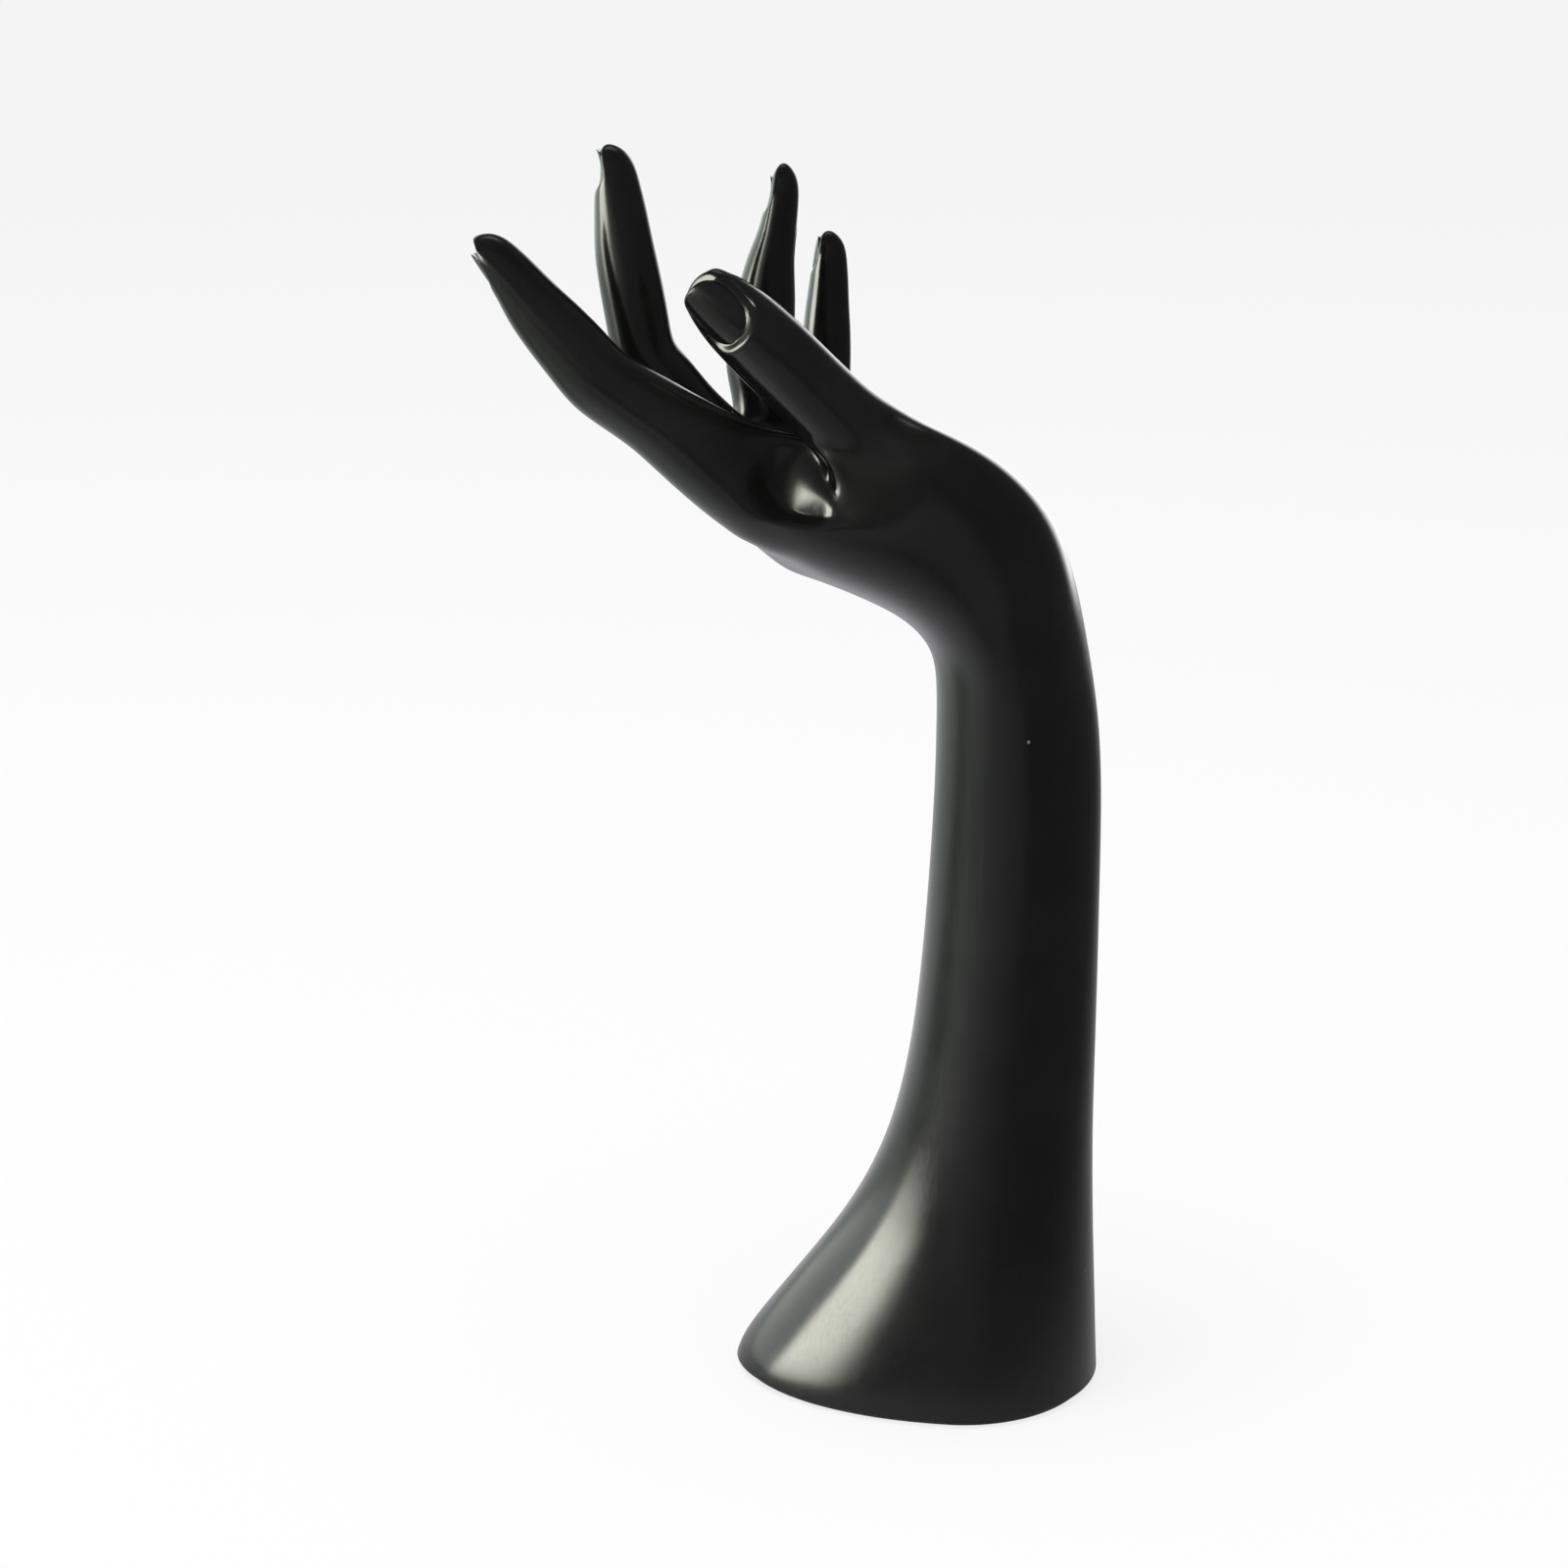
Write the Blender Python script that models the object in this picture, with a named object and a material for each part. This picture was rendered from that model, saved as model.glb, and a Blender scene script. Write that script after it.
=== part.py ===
"""A display hand and forearm standing on its own flared foot, with the pieces that close and weight it.

The frame is +Z up with the origin in the middle of the underside. The hand points to -X, the thumb side
is -Y, and the palm side of the forearm is +X. The form is a ring cage: twenty columns run up the forearm,
divide into a thumb and a palm at the first web, and divide again into four fingers. A subdivision surface
rounds the cage. Every length below is in millimetres and becomes metres where a mesh is made.
"""

import math

import bmesh
import bpy
import numpy as np

MM = 0.001
GAP = 0.3  # clearance between two pieces that touch on the real object

# The pad, the plate and the foot
PAD_THICK = 1.5
PLATE_THICK = 2.0
FOOT_Z = PAD_THICK + GAP
FOOT_DORSAL = 44.5
FOOT_PALMAR = 44.5
FOOT_HALF_WIDTH = 36.0
FOOT_WIDEST_X = 11.0
RIM_WIDTH = 3.2
PAD_INSET = 1.6
RECESS_TOP = FOOT_Z + PLATE_THICK + GAP

# The hollow inside the forearm
WALL = 4.5
FOOT_WALL = 11.0
TOE_WALL = 21.0
HOLLOW_BELOW_WRIST = 23.0
THICK_WALL_TOP = 62.0  # the height above which the wall is no thicker than WALL
DOME_SHARE = 0.62  # the size of the ring that rounds the hollow's top
DOME_RING_RISE = 6.0
DOME_RISE = 7.5

# The ballast, an egg-shaped block standing on the plate
BALLAST_HEIGHT = 26.0
BALLAST_X = 12.0
BALLAST_DORSAL = 15.0
BALLAST_PALMAR = 18.0
BALLAST_HALF_WIDTH = 16.0
BALLAST_BEVEL = 1.6

# The countersunk screws: four hold the plate to the foot and two hold the ballast to the plate
PLATE_SCREW_RADIUS = 1.5
PLATE_SCREW_LENGTH = 9.0
PLATE_SCREW_INSET = 7.2
TOE_SCREW_INSET = 14.0
BALLAST_SCREW_RADIUS = 2.0
BALLAST_SCREW_LENGTH = 14.0
BALLAST_SCREW_SPREAD = 7.5
HEAD_RATIO = 1.9
HEAD_DEPTH = 1.4
HEAD_RIM = 0.2
DRIVE_RATIO = 0.8
DRIVE_DEPTH = 0.9
TIP_CHAMFER = 0.4
HOLE_BEYOND = 0.6  # how far a hole goes past its screw's end
CUT_BELOW = 1.0  # how far a cutter starts below the face that it opens

COLUMNS = 20
FINGER_COLUMNS = 8
UPRIGHT = 90.0  # the tilt of a section whose axis stands straight up

# The height of the wrist, from which every height of the hand and the digits is measured
WRIST = 181.0

# The flare, from the foot up to the neck: each row is the height above the foot, how far the section's
# centre has moved from the foot's to the neck's, and how much of the foot's extra reach is left at the
# back, on the palm side and at the two sides.
NECK_X = 20.0
NECK_HEIGHT = 79.2
NECK_DORSAL = 22.4
NECK_PALMAR = 22.3
NECK_HALF_WIDTH = 25.8
FLARE = [
    (0.0, 0.0, 1.0, 1.0, 1.0),
    (3.4, 0.0, 0.967, 0.982, 0.971),
    (10.2, 0.056, 0.840, 0.911, 0.843),
    (20.2, 0.167, 0.640, 0.786, 0.637),
    (31.2, 0.333, 0.429, 0.607, 0.431),
    (44.2, 0.556, 0.230, 0.384, 0.235),
    (60.2, 0.833, 0.091, 0.125, 0.098),
    (NECK_HEIGHT, 1.0, 0.0, 0.0, 0.0),
]
# The forearm from the neck to the wrist: the centre's x, how far up it is as a share of the way, then the
# reach to the back, palm, thumb and little finger sides
FOREARM = [
    (21.0, 0.22, 20.7, 21.5, 25.2, 25.2),
    (22.0, 0.46, 20.0, 20.5, 24.8, 24.8),
    (22.5, 0.69, 19.3, 20.0, 24.8, 24.8),
    (22.0, 0.87, 18.6, 19.3, 25.2, 25.2),
]
# The bend of the wrist: the centre's x, y and height above the wrist, the tilt of the section's axis above
# level, its twist and its skew towards the little finger, then the four reaches
BEND = [
    (20.5, 0.0, 0.0, 79, 1, 0, 17.6, 18.2, 26.2, 26.2),
    (16.6, 0.0, 10.5, 65, 2, 0, 16.6, 18.6, 27.6, 27.2),
    (7.9, 0.0, 19.6, 50, 4, 1, 16.0, 22.4, 29.4, 28.6),
    (-3.0, -0.5, 25.0, 38, 6, 3, 15.2, 20.0, 31.8, 30.2),
]
CARPAL = (-12.5, -0.7, 28.2, 32, 8, 5, 14.2, 13.6, 33.4, 31.2)
PALM = [
    (-19.5, -0.8, 30.8, 31, 9.5, 11, 14.8, 10.8, 33.0, 32.0),
    (-26.0, -1.0, 33.0, 32, 10.5, 16, 14.9, 9.6, 33.2, 32.0),
]
# The power of the superellipse that squares the section, two being a plain ellipse
CARPAL_POWER = 2.3
PALM_POWER = 2.6
# How far the thumb's base stands out by station, and how far the hollow beside the first web goes in
THENAR = {13: 3.0, 14: 7.5, 15: 15.5, 16: 22.5}
WEB_HOLLOW = (-4.5, -3.0)
THENAR_COLUMN = 17.5
THENAR_SPREAD = 2.0
THENAR_LEAN = 24.0  # the direction it stands out in, from the palm side towards the thumb side
# The edge of the first web, from the back of the hand to the palm
FIRST_WEB = [(-18.2, -34.2, 37.5), (-18.0, -27.0, 53.0), (-12.0, -14.0, 50.0)]
# The fold of skin between the thumb and the index finger, on the two palm stations and the index knuckle:
# the palm behind it, its edge, the hollow outside it and the ridge below
FOLD_COLUMNS = [17, 18, 19, 0]
SKIN_FOLD = [
    [(-18.5, -17.5, 48.0), (-22.5, -24.5, 58.0), (-23.0, -27.5, 46.0), (-22.8, -34.2, 37.6)],
    [(-25.5, -19.0, 50.5), (-28.6, -26.0, 59.2), (-30.5, -27.5, 49.5), (-30.5, -35.0, 40.0)],
]
KNUCKLE_FOLD_COLUMNS = [5, 6, 7, 0]
KNUCKLE_FOLD = [(-31.5, -17.0, 53.0), (-35.5, -25.0, 60.5), (-38.0, -29.5, 54.0), (-36.5, -35.6, 42.5)]
KNUCKLE_LINE = (8.5, 48.5, -16.0)  # from the index knuckle to the little finger's
PALM_PITCH = 31.0
KNUCKLE_WIDER = 0.2
KNUCKLE_DEEPER = 0.6

# The digits: joints as x, y and height of the first joint, then the pitch above level, the yaw towards the little
# finger and the length of each segment, the half widths and half depths at the root and three joints, and
# the depth of the back on the two rings under the nail.
FINGERS = {
    "index": {
        "joint": (-34.0, -25.0, 41.4),
        "pitch": (34.7, 48.5, 46.5),
        "yaw": (-2.0, 2.0, 3.0),
        "length": (46.4, 23.2, 20.2),
        "width": (9.4, 8.3, 7.0, 4.8),
        "depth": (11.6, 8.5, 6.7, 4.2),
        "front": 10.6,
        "nail_back": (4.6, 2.5),
    },
    "middle": {
        "joint": (-34.5, -9.0, 37.5),
        "pitch": (47.7, 79.5, 79.8),
        "yaw": (0.0, 2.0, 3.0),
        "length": (44.0, 26.5, 25.3),
        "width": (8.9, 8.2, 7.2, 5.2),
        "depth": (10.2, 7.7, 6.9, 4.8),
        "front": 5.6,
        "nail_back": (5.1, 2.4),
    },
    "ring": {
        "joint": (-33.5, 8.0, 31.5),
        "pitch": (79.5, 97.5, 100.0),
        "yaw": (3.0, 1.0, 0.0),
        "length": (37.0, 23.5, 23.5),
        "width": (8.4, 7.2, 6.2, 4.2),
        "depth": (10.8, 8.0, 5.4, 3.6),
        "front": 8.6,
        "nail_back": (3.5, 2.2),
    },
    "little": {
        "joint": (-25.5, 23.0, 25.5),
        "pitch": (88.5, 92.0, 92.0),
        "yaw": (8.0, 3.0, 0.0),
        "length": (35.0, 18.0, 18.3),
        "width": (7.4, 6.2, 5.4, 3.7),
        "depth": (8.6, 6.3, 5.2, 3.5),
        "front": 8.0,
        "nail_back": (4.3, 2.5),
    },
}
ROOT_ALONG = 0.45  # where the webs are, as a share of the first segment
THUMB_LINE = [
    (-11.5, -21.8, 53.6, 10.4, 10.4),
    (-17.5, -23.5, 59.0, 9.6, 9.4),
    (-24.2, -25.4, 66.2, 9.2, 9.0),
    (-31.0, -27.0, 73.2, 9.4, 9.0),
    (-38.0, -28.2, 80.0, 9.3, 8.5),
    (-44.4, -28.8, 86.0, 8.2, 6.8),
    (-48.6, -29.0, 89.8, 6.0, 4.8),
]
THUMB_TIP = (-50.8, -29.0, 91.6)
THUMB_TURN = -45.0  # the direction that the thumb's nail faces, from -Y towards the palm side

# The nails: how far behind the cage's tip the plate starts and ends, its half width, the height of its
# top above the digit's axis at the fold and at the free edge
NAILS = {
    "thumb": (15.4, 2.6, 6.2, 7.6, 4.9),
    "index": (12.6, 3.8, 4.3, 5.0, 2.9),
    "middle": (12.5, 2.5, 4.6, 4.9, 2.6),
    "ring": (13.0, 4.9, 3.7, 3.6, 2.8),
    "little": (10.5, 2.6, 3.4, 4.4, 2.4),
}
THUMB_NAIL_TURN = 29.0  # how far the nail is turned from the thumb's own back towards the wrist
NAIL_THICK = 1.1
NAIL_ARC = 58.0
NAIL_FOLD_CURVE = 0.22
NAIL_EDGE_CURVE = 0.26
NAIL_STEPS = 8


def unit(vector):
    vector = np.asarray(vector, float)
    return vector / np.linalg.norm(vector)


def cage_reach(reach, columns):
    """The radius of a cage ring whose smoothed section has this radius."""
    return reach * 6 / (4 + 2 * math.cos(2 * math.pi / columns))


def raised(rows):
    """The same rows with their heights taken from the floor and no longer from the wrist."""
    return [(x, y, WRIST + height, *rest) for x, y, height, *rest in rows]


def arm_stations():
    """The sections of the whole arm: the flare's, from the foot's size to the neck's, then the forearm's."""
    foot = np.array([FOOT_DORSAL + FOOT_WIDEST_X, FOOT_PALMAR - FOOT_WIDEST_X, FOOT_HALF_WIDTH])
    neck = np.array([NECK_DORSAL, NECK_PALMAR, NECK_HALF_WIDTH])
    stations = []
    for height, moved, *share in FLARE:
        x = FOOT_WIDEST_X + (NECK_X - FOOT_WIDEST_X) * moved
        back, palm, side = neck + (foot - neck) * np.array(share)
        stations.append((x, 0.0, FOOT_Z + height, UPRIGHT, 0, 0, back, palm, side, side))
    top = FOOT_Z + NECK_HEIGHT
    for x, share, *reaches in FOREARM:
        stations.append((x, 0.0, top + (WRIST - top) * share, UPRIGHT, 0, 0, *reaches))
    return stations + raised(BEND)


def section_axes(station):
    """The section's centre, its direction towards the little finger and its direction towards the palm."""
    tilt, twist, skew = (math.radians(angle) for angle in station[3:6])
    along = np.array([-math.cos(tilt), 0, math.sin(tilt)])
    level = np.array([math.sin(tilt), 0, math.cos(tilt)])
    across = np.array([0, 1.0, 0])
    palmar = level * math.cos(twist) + across * math.sin(twist)
    side = across * math.cos(twist) - level * math.sin(twist) - along * math.sin(skew)
    return np.array(station[:3]), side, palmar


def body_ring(station):
    """Twenty points round one section of the forearm or palm, from the thumb side over the back."""
    centre, side, palmar = section_axes(station)
    back, palm, thumb, little = station[6:]
    turn = 2 * math.pi * np.arange(COLUMNS) / COLUMNS
    cos, sin = np.cos(turn), np.sin(turn)
    sideways = -cos * np.where(cos > 0, thumb, little)
    up = -sin * np.where(sin > 0, back, palm)
    grow = cage_reach(1, COLUMNS)
    return centre + grow * (sideways[:, None] * side + up[:, None] * palmar)


def squared(ring, station, power):
    """The same section with fuller shoulders: a superellipse of this power in place of the ellipse."""
    turn = 2 * math.pi * np.arange(COLUMNS) / COLUMNS
    fuller = (np.abs(np.cos(turn)) ** power + np.abs(np.sin(turn)) ** power) ** (-1 / power)
    centre = np.array(station[:3])
    return centre + (ring - centre) * fuller[:, None]


def thenar(ring, station, amount):
    """Pushes the columns at the thumb's base outward, or inward where the amount is negative."""
    _, side, palmar = section_axes(station)
    lean = math.radians(THENAR_LEAN)
    column = np.arange(COLUMNS)
    away = np.minimum(np.abs(column - THENAR_COLUMN), COLUMNS - np.abs(column - THENAR_COLUMN))
    push = amount * np.exp(-((away / THENAR_SPREAD) ** 2))
    return ring + push[:, None] * (palmar * math.cos(lean) - side * math.sin(lean))


def digit_ring(centre, along, side, half_width, half_back, half_front):
    """Eight points round a digit: thumb side, back, little finger side, front."""
    along = unit(along)
    side = unit(np.asarray(side) - np.dot(side, along) * along)
    back = np.cross(along, side)
    turn = 2 * math.pi * np.arange(FINGER_COLUMNS) / FINGER_COLUMNS
    cos, sin = np.cos(turn), np.sin(turn)
    grow = cage_reach(1, FINGER_COLUMNS)
    up = sin * np.where(sin > 0, half_back, half_front)
    return np.asarray(centre) + grow * (-cos[:, None] * half_width * side + up[:, None] * back)


def heading(pitch, yaw):
    pitch, yaw = math.radians(pitch), math.radians(yaw)
    return np.array([-math.cos(pitch) * math.cos(yaw), math.sin(yaw), math.sin(pitch) * math.cos(yaw)])


def finger_rings(name):
    """The rings of one finger from its web to its tip, and the tip point."""
    finger = FINGERS[name]
    side = np.array([0, 1.0, 0])
    joint = np.array(raised([finger["joint"]])[0])
    ways = [heading(p, y) for p, y in zip(finger["pitch"], finger["yaw"])]
    first, second, third = finger["length"]
    knee = joint + ways[0] * first
    bend = knee + ways[1] * second
    tip = bend + ways[2] * third
    w0, w1, w2, w3 = finger["width"]
    d0, d1, d2, d3 = finger["depth"]
    front = finger["front"]
    nail_back, tip_back = finger["nail_back"]
    plan = [
        (joint + ways[0] * first * ROOT_ALONG, ways[0], w0, (d0 + d1) / 2, front),
        (joint + ways[0] * first * 0.66, ways[0], (w0 + w1) / 2, d1 * 0.96, (front + d1) / 2),
        (joint + ways[0] * first * 0.86, ways[0], w1, d1, d1),
        (knee, ways[0] + ways[1], w1, d1, d1 * 0.95),
        (knee + ways[1] * second * 0.3, ways[1], w1 * 0.96, d1 * 0.94, d1 * 0.96),
        (knee + ways[1] * second * 0.68, ways[1], (w1 + w2) / 2, (d1 + d2) / 2, (d1 + d2) / 2),
        (bend, ways[1] + ways[2], w2, d2, d2),
        (bend + ways[2] * third * 0.42, ways[2], w2 * 0.94, nail_back, d2 * 0.95),
        (bend + ways[2] * third * 0.8, ways[2], w3, tip_back, d3),
    ]
    knuckle = digit_ring(
        joint,
        ways[0] + heading(PALM_PITCH, 0),
        KNUCKLE_LINE,
        w0 + KNUCKLE_WIDER,
        d0 + KNUCKLE_DEEPER,
        front + KNUCKLE_DEEPER,
    )
    return [digit_ring(c, a, side, w, b, f) for c, a, w, b, f in plan], tip, knuckle


def thumb_rings():
    """The thumb's rings from the first web to its tip; column 4 is the middle of its back."""
    centres = [np.array(row[:3]) for row in raised(THUMB_LINE + [THUMB_TIP])]
    rings = []
    for index, row in enumerate(THUMB_LINE):
        along = unit(centres[index + 1] - centres[index])
        turn = math.radians(THUMB_TURN)
        out = math.cos(turn) * np.array([0, -1.0, 0]) + math.sin(turn) * np.array([0.7, 0, 0.7])
        out = unit(out - np.dot(out, along) * along)
        side = np.cross(along, out)
        spin = math.radians(45) * (4 - np.arange(FINGER_COLUMNS))
        grow = cage_reach(1, FINGER_COLUMNS)
        reach = np.cos(spin)[:, None] * row[4] * out + np.sin(spin)[:, None] * row[3] * side
        rings.append(centres[index] + grow * reach)
    return rings, centres[-1]


class Cage:
    """Vertices in millimetres and quads that share them."""

    def __init__(self):
        self.points = []
        self.quads = []
        self.creased = []

    def add(self, ring):
        start = len(self.points)
        self.points.extend(np.asarray(ring, float))
        return list(range(start, start + len(ring)))

    def bridge(self, lower, upper):
        count = len(lower)
        for k in range(count):
            nxt = (k + 1) % count
            self.quads.append((lower[k], upper[k], upper[nxt], lower[nxt]))

    def cap(self, ring, point):
        middle = self.add([point])[0]
        for k in range(0, len(ring), 2):
            self.quads.append((ring[k], middle, ring[(k + 2) % len(ring)], ring[k + 1]))

    def crease(self, ring):
        self.creased.extend((ring[k], ring[(k + 1) % len(ring)]) for k in range(len(ring)))


def joined_loop(cage, rings, inner):
    """Joins four fingers' rings side by side, sharing corners, into one loop of twenty round the hand."""
    roots = [[None] * FINGER_COLUMNS for _ in rings]
    for number in range(len(rings) - 1):
        a, b = rings[number], rings[number + 1]
        roots[number][3], roots[number][5] = cage.add([(a[3] + b[1]) / 2, (a[5] + b[7]) / 2])
        roots[number + 1][1], roots[number + 1][7] = roots[number][3], roots[number][5]
        if inner:
            roots[number][4] = roots[number + 1][0] = cage.add([(a[4] + b[0]) / 2])[0]
    for number, ring in enumerate(rings):
        for k in range(FINGER_COLUMNS):
            between = (k == 4 and number < len(rings) - 1) or (k == 0 and number > 0)
            if roots[number][k] is None and not between:
                roots[number][k] = cage.add([ring[k]])[0]
    i, m, r, s = roots
    loop = [i[0], i[1], i[2], i[3], m[2], m[3], r[2], r[3], s[2], s[3], s[4]]
    loop += [s[5], s[6], r[5], r[6], m[5], m[6], i[5], i[6], i[7]]
    return loop, roots


def foot_loop(inset, toe_inset, z):
    """The foot's outline moved inward, with its own inset at the toe."""
    station = (
        FOOT_WIDEST_X,
        0,
        z,
        UPRIGHT,
        0,
        0,
        FOOT_DORSAL + FOOT_WIDEST_X - toe_inset,
        FOOT_PALMAR - FOOT_WIDEST_X - inset,
        FOOT_HALF_WIDTH - inset,
        FOOT_HALF_WIDTH - inset,
    )
    return body_ring(station)


def build_hand(cage):
    outer = []
    for index, station in enumerate(arm_stations()):
        ring = thenar(body_ring(station), station, THENAR.get(index, 0.0))
        outer.append(cage.add(ring))
    for lower, upper in zip(outer, outer[1:]):
        cage.bridge(lower, upper)

    station = raised([CARPAL])[0]
    carpal = cage.add(thenar(squared(body_ring(station), station, CARPAL_POWER), station, THENAR[16]))
    cage.bridge(outer[-1], carpal)

    # The first web's edge is shared by the thumb and the palm
    web = cage.add(raised(FIRST_WEB))
    palm_loop = carpal[:17] + [web[2], web[1], web[0]]
    thumb_loop = carpal[16:] + [carpal[0], web[0], web[1], web[2]]

    rings, tip = thumb_rings()
    below = thumb_loop
    for ring in rings:
        above = cage.add(ring)
        cage.bridge(below, above)
        below = above
    cage.cap(below, tip)

    below = palm_loop
    for station, hollow, fold in zip(raised(PALM), WEB_HOLLOW, SKIN_FOLD):
        ring = thenar(squared(body_ring(station), station, PALM_POWER), station, hollow)
        ring[FOLD_COLUMNS] = raised(fold)
        above = cage.add(ring)
        cage.bridge(below, above)
        below = above

    fingers = {name: finger_rings(name) for name in FINGERS}
    fingers["index"][2][KNUCKLE_FOLD_COLUMNS] = raised(KNUCKLE_FOLD)
    loop, _ = joined_loop(cage, [finger[2] for finger in fingers.values()], False)
    cage.bridge(below, loop)
    below = loop
    loop, roots = joined_loop(cage, [finger[0][0] for finger in fingers.values()], True)
    cage.bridge(below, loop)
    for below, (rings, tip, _) in zip(roots, fingers.values()):
        for ring in rings[1:]:
            above = cage.add(ring)
            cage.bridge(below, above)
            below = above
        cage.cap(below, tip)
    return outer[0]


def build_hollow(cage, foot):
    rim = cage.add(foot_loop(RIM_WIDTH, RIM_WIDTH, FOOT_Z))
    recess = cage.add(foot_loop(RIM_WIDTH, RIM_WIDTH, RECESS_TOP))
    ledge = cage.add(foot_loop(FOOT_WALL, TOE_WALL, RECESS_TOP))
    cage.bridge(rim, foot)
    cage.bridge(recess, rim)
    cage.bridge(ledge, recess)
    for ring in (foot, rim, recess, ledge):
        cage.crease(ring)
    below = ledge
    for station in arm_stations()[2:]:
        if station[2] > WRIST - HOLLOW_BELOW_WRIST:
            break
        x, y, z, tilt, twist, skew, back, palm, thumb, little = station
        near_foot = max(0.0, 1 - z / THICK_WALL_TOP)
        wall = WALL + (FOOT_WALL - WALL) * near_foot
        toe = WALL + (TOE_WALL - WALL) * near_foot
        inner = (x, y, z, tilt, twist, skew, back - toe, palm - wall, thumb - wall, little - wall)
        above = cage.add(body_ring(inner))
        cage.bridge(above, below)
        below = above
    last = np.array([cage.points[k] for k in below])
    middle = last.mean(axis=0)
    dome = cage.add(middle + (last - middle) * DOME_SHARE + np.array([0, 0, DOME_RING_RISE]))
    cage.bridge(dome, below)
    ring = dome
    centre = cage.add([middle + np.array([0, 0, DOME_RISE])])[0]
    for k in range(0, COLUMNS, 2):
        cage.quads.append((ring[k], ring[k + 1], ring[(k + 2) % COLUMNS], centre))


def digit_ends():
    """For each digit, its tip, the direction it points, the side towards the little finger, its back."""
    ends = {}
    rings, tip = thumb_rings()
    near_tip = np.array(raised(THUMB_LINE)[-2][:3])
    along = unit(tip - near_tip)
    back = unit(rings[-2][4] - near_tip)
    back = unit(back - np.dot(back, along) * along)
    turn = math.radians(THUMB_NAIL_TURN)
    back = back * math.cos(turn) - np.cross(back, along) * math.sin(turn)
    ends["thumb"] = (tip, along, np.cross(back, along), back)
    for name, finger in FINGERS.items():
        _, tip, _ = finger_rings(name)
        along = heading(finger["pitch"][2], finger["yaw"][2])
        side = unit(np.array([0, 1.0, 0]) - along[1] * along)
        ends[name] = (tip, along, side, np.cross(along, side))
    return ends


def nail_points(name, end):
    """The top and underside grids of one nail plate, each NAIL_STEPS + 1 points square.

    Across the nail the plate is an arc of radius half width / sin(NAIL_ARC). Along it the start and the
    end bow outward with the square of the place across, and the height eases from fold to free edge.
    """
    tip, along, side, back = end
    behind, end_behind, half_width, fold_height, edge_height = NAILS[name]
    u, v = np.meshgrid(np.linspace(-1, 1, NAIL_STEPS + 1), np.linspace(0, 1, NAIL_STEPS + 1))
    length = behind - end_behind
    start = NAIL_FOLD_CURVE * length * u**2
    finish = length * (1 - NAIL_EDGE_CURVE * u**2)
    place = start + (finish - start) * v - behind
    arc = math.radians(NAIL_ARC)
    radius = half_width / math.sin(arc)
    height = fold_height + (edge_height - fold_height) * v**1.3
    grids = []
    for depth in (0.0, NAIL_THICK):
        across = (radius - depth) * np.sin(arc * u)
        up = height + (radius - depth) * np.cos(arc * u) - radius
        grid = np.array(tip) + place[..., None] * along + across[..., None] * side + up[..., None] * back
        grids.append(grid.reshape(-1, 3))
    return grids


def nail_mesh():
    """Five closed nail plates in one mesh."""
    points, faces = [], []
    n = NAIL_STEPS + 1
    for name, end in digit_ends().items():
        top, under = nail_points(name, end)
        start = len(points)
        points.extend(top)
        points.extend(under)
        low = start + n * n
        for j in range(n - 1):
            for i in range(n - 1):
                k = j * n + i
                faces.append((start + k, start + k + 1, start + k + n + 1, start + k + n))
                faces.append((low + k, low + k + n, low + k + n + 1, low + k + 1))
        rim = list(range(n)) + [j * n + n - 1 for j in range(1, n)]
        rim += [n * n - 1 - i for i in range(1, n)] + [j * n for j in range(n - 2, 0, -1)]
        for a, b in zip(rim, rim[1:] + rim[:1]):
            faces.append((start + b, start + a, low + a, low + b))
    return points, faces


def new_object(name, points, faces):
    mesh = bpy.data.meshes.new(name)
    mesh.from_pydata([tuple(float(p) * MM for p in point) for point in points], [], faces)
    obj = bpy.data.objects.new(name, mesh)
    bpy.context.scene.collection.objects.link(obj)
    return obj


def face_outward(obj):
    bm = bmesh.new()
    bm.from_mesh(obj.data)
    bmesh.ops.recalc_face_normals(bm, faces=bm.faces)
    bm.to_mesh(obj.data)
    bm.free()


def helper(obj):
    obj.hide_render = True
    obj.display_type = "WIRE"
    return obj


def boolean(obj, other, operation):
    modifier = obj.modifiers.new(other.name, "BOOLEAN")
    modifier.operation = operation
    modifier.solver = "EXACT"
    modifier.object = other


def hand_object():
    """The cast hand: the subdivided cage, with the nails joined on and the screw holes cut out."""
    cage = Cage()
    foot = build_hand(cage)
    build_hollow(cage, foot)
    hand = new_object("hand_casting", cage.points, cage.quads)
    face_outward(hand)
    mesh = hand.data
    edges = {tuple(sorted(edge.vertices)): edge.index for edge in mesh.edges}
    crease = mesh.attributes.new("crease_edge", "FLOAT", "EDGE")
    for a, b in cage.creased:
        crease.data[edges[(min(a, b), max(a, b))]].value = 1.0
    subsurf = hand.modifiers.new("Round", "SUBSURF")
    subsurf.levels = subsurf.render_levels = 1
    mesh.shade_smooth()
    return hand


def prism(name, loop, low, high, bevel):
    """A solid with this outline between two heights, its top and bottom edges rounded by the bevel."""
    bm = bmesh.new()
    base = bm.faces.new([bm.verts.new((x * MM, y * MM, low * MM)) for x, y in loop])
    top = bmesh.ops.extrude_face_region(bm, geom=[base])
    moved = [item for item in top["geom"] if isinstance(item, bmesh.types.BMVert)]
    bmesh.ops.translate(bm, verts=moved, vec=(0, 0, (high - low) * MM))
    bmesh.ops.recalc_face_normals(bm, faces=bm.faces)
    level = [e for e in bm.edges if abs(e.verts[0].co.z - e.verts[1].co.z) < 1e-7]
    bmesh.ops.bevel(bm, geom=level, offset=bevel * MM, segments=2, profile=0.5, affect="EDGES")
    mesh = bpy.data.meshes.new(name)
    bm.to_mesh(mesh)
    bm.free()
    obj = bpy.data.objects.new(name, mesh)
    bpy.context.scene.collection.objects.link(obj)
    return obj


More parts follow.
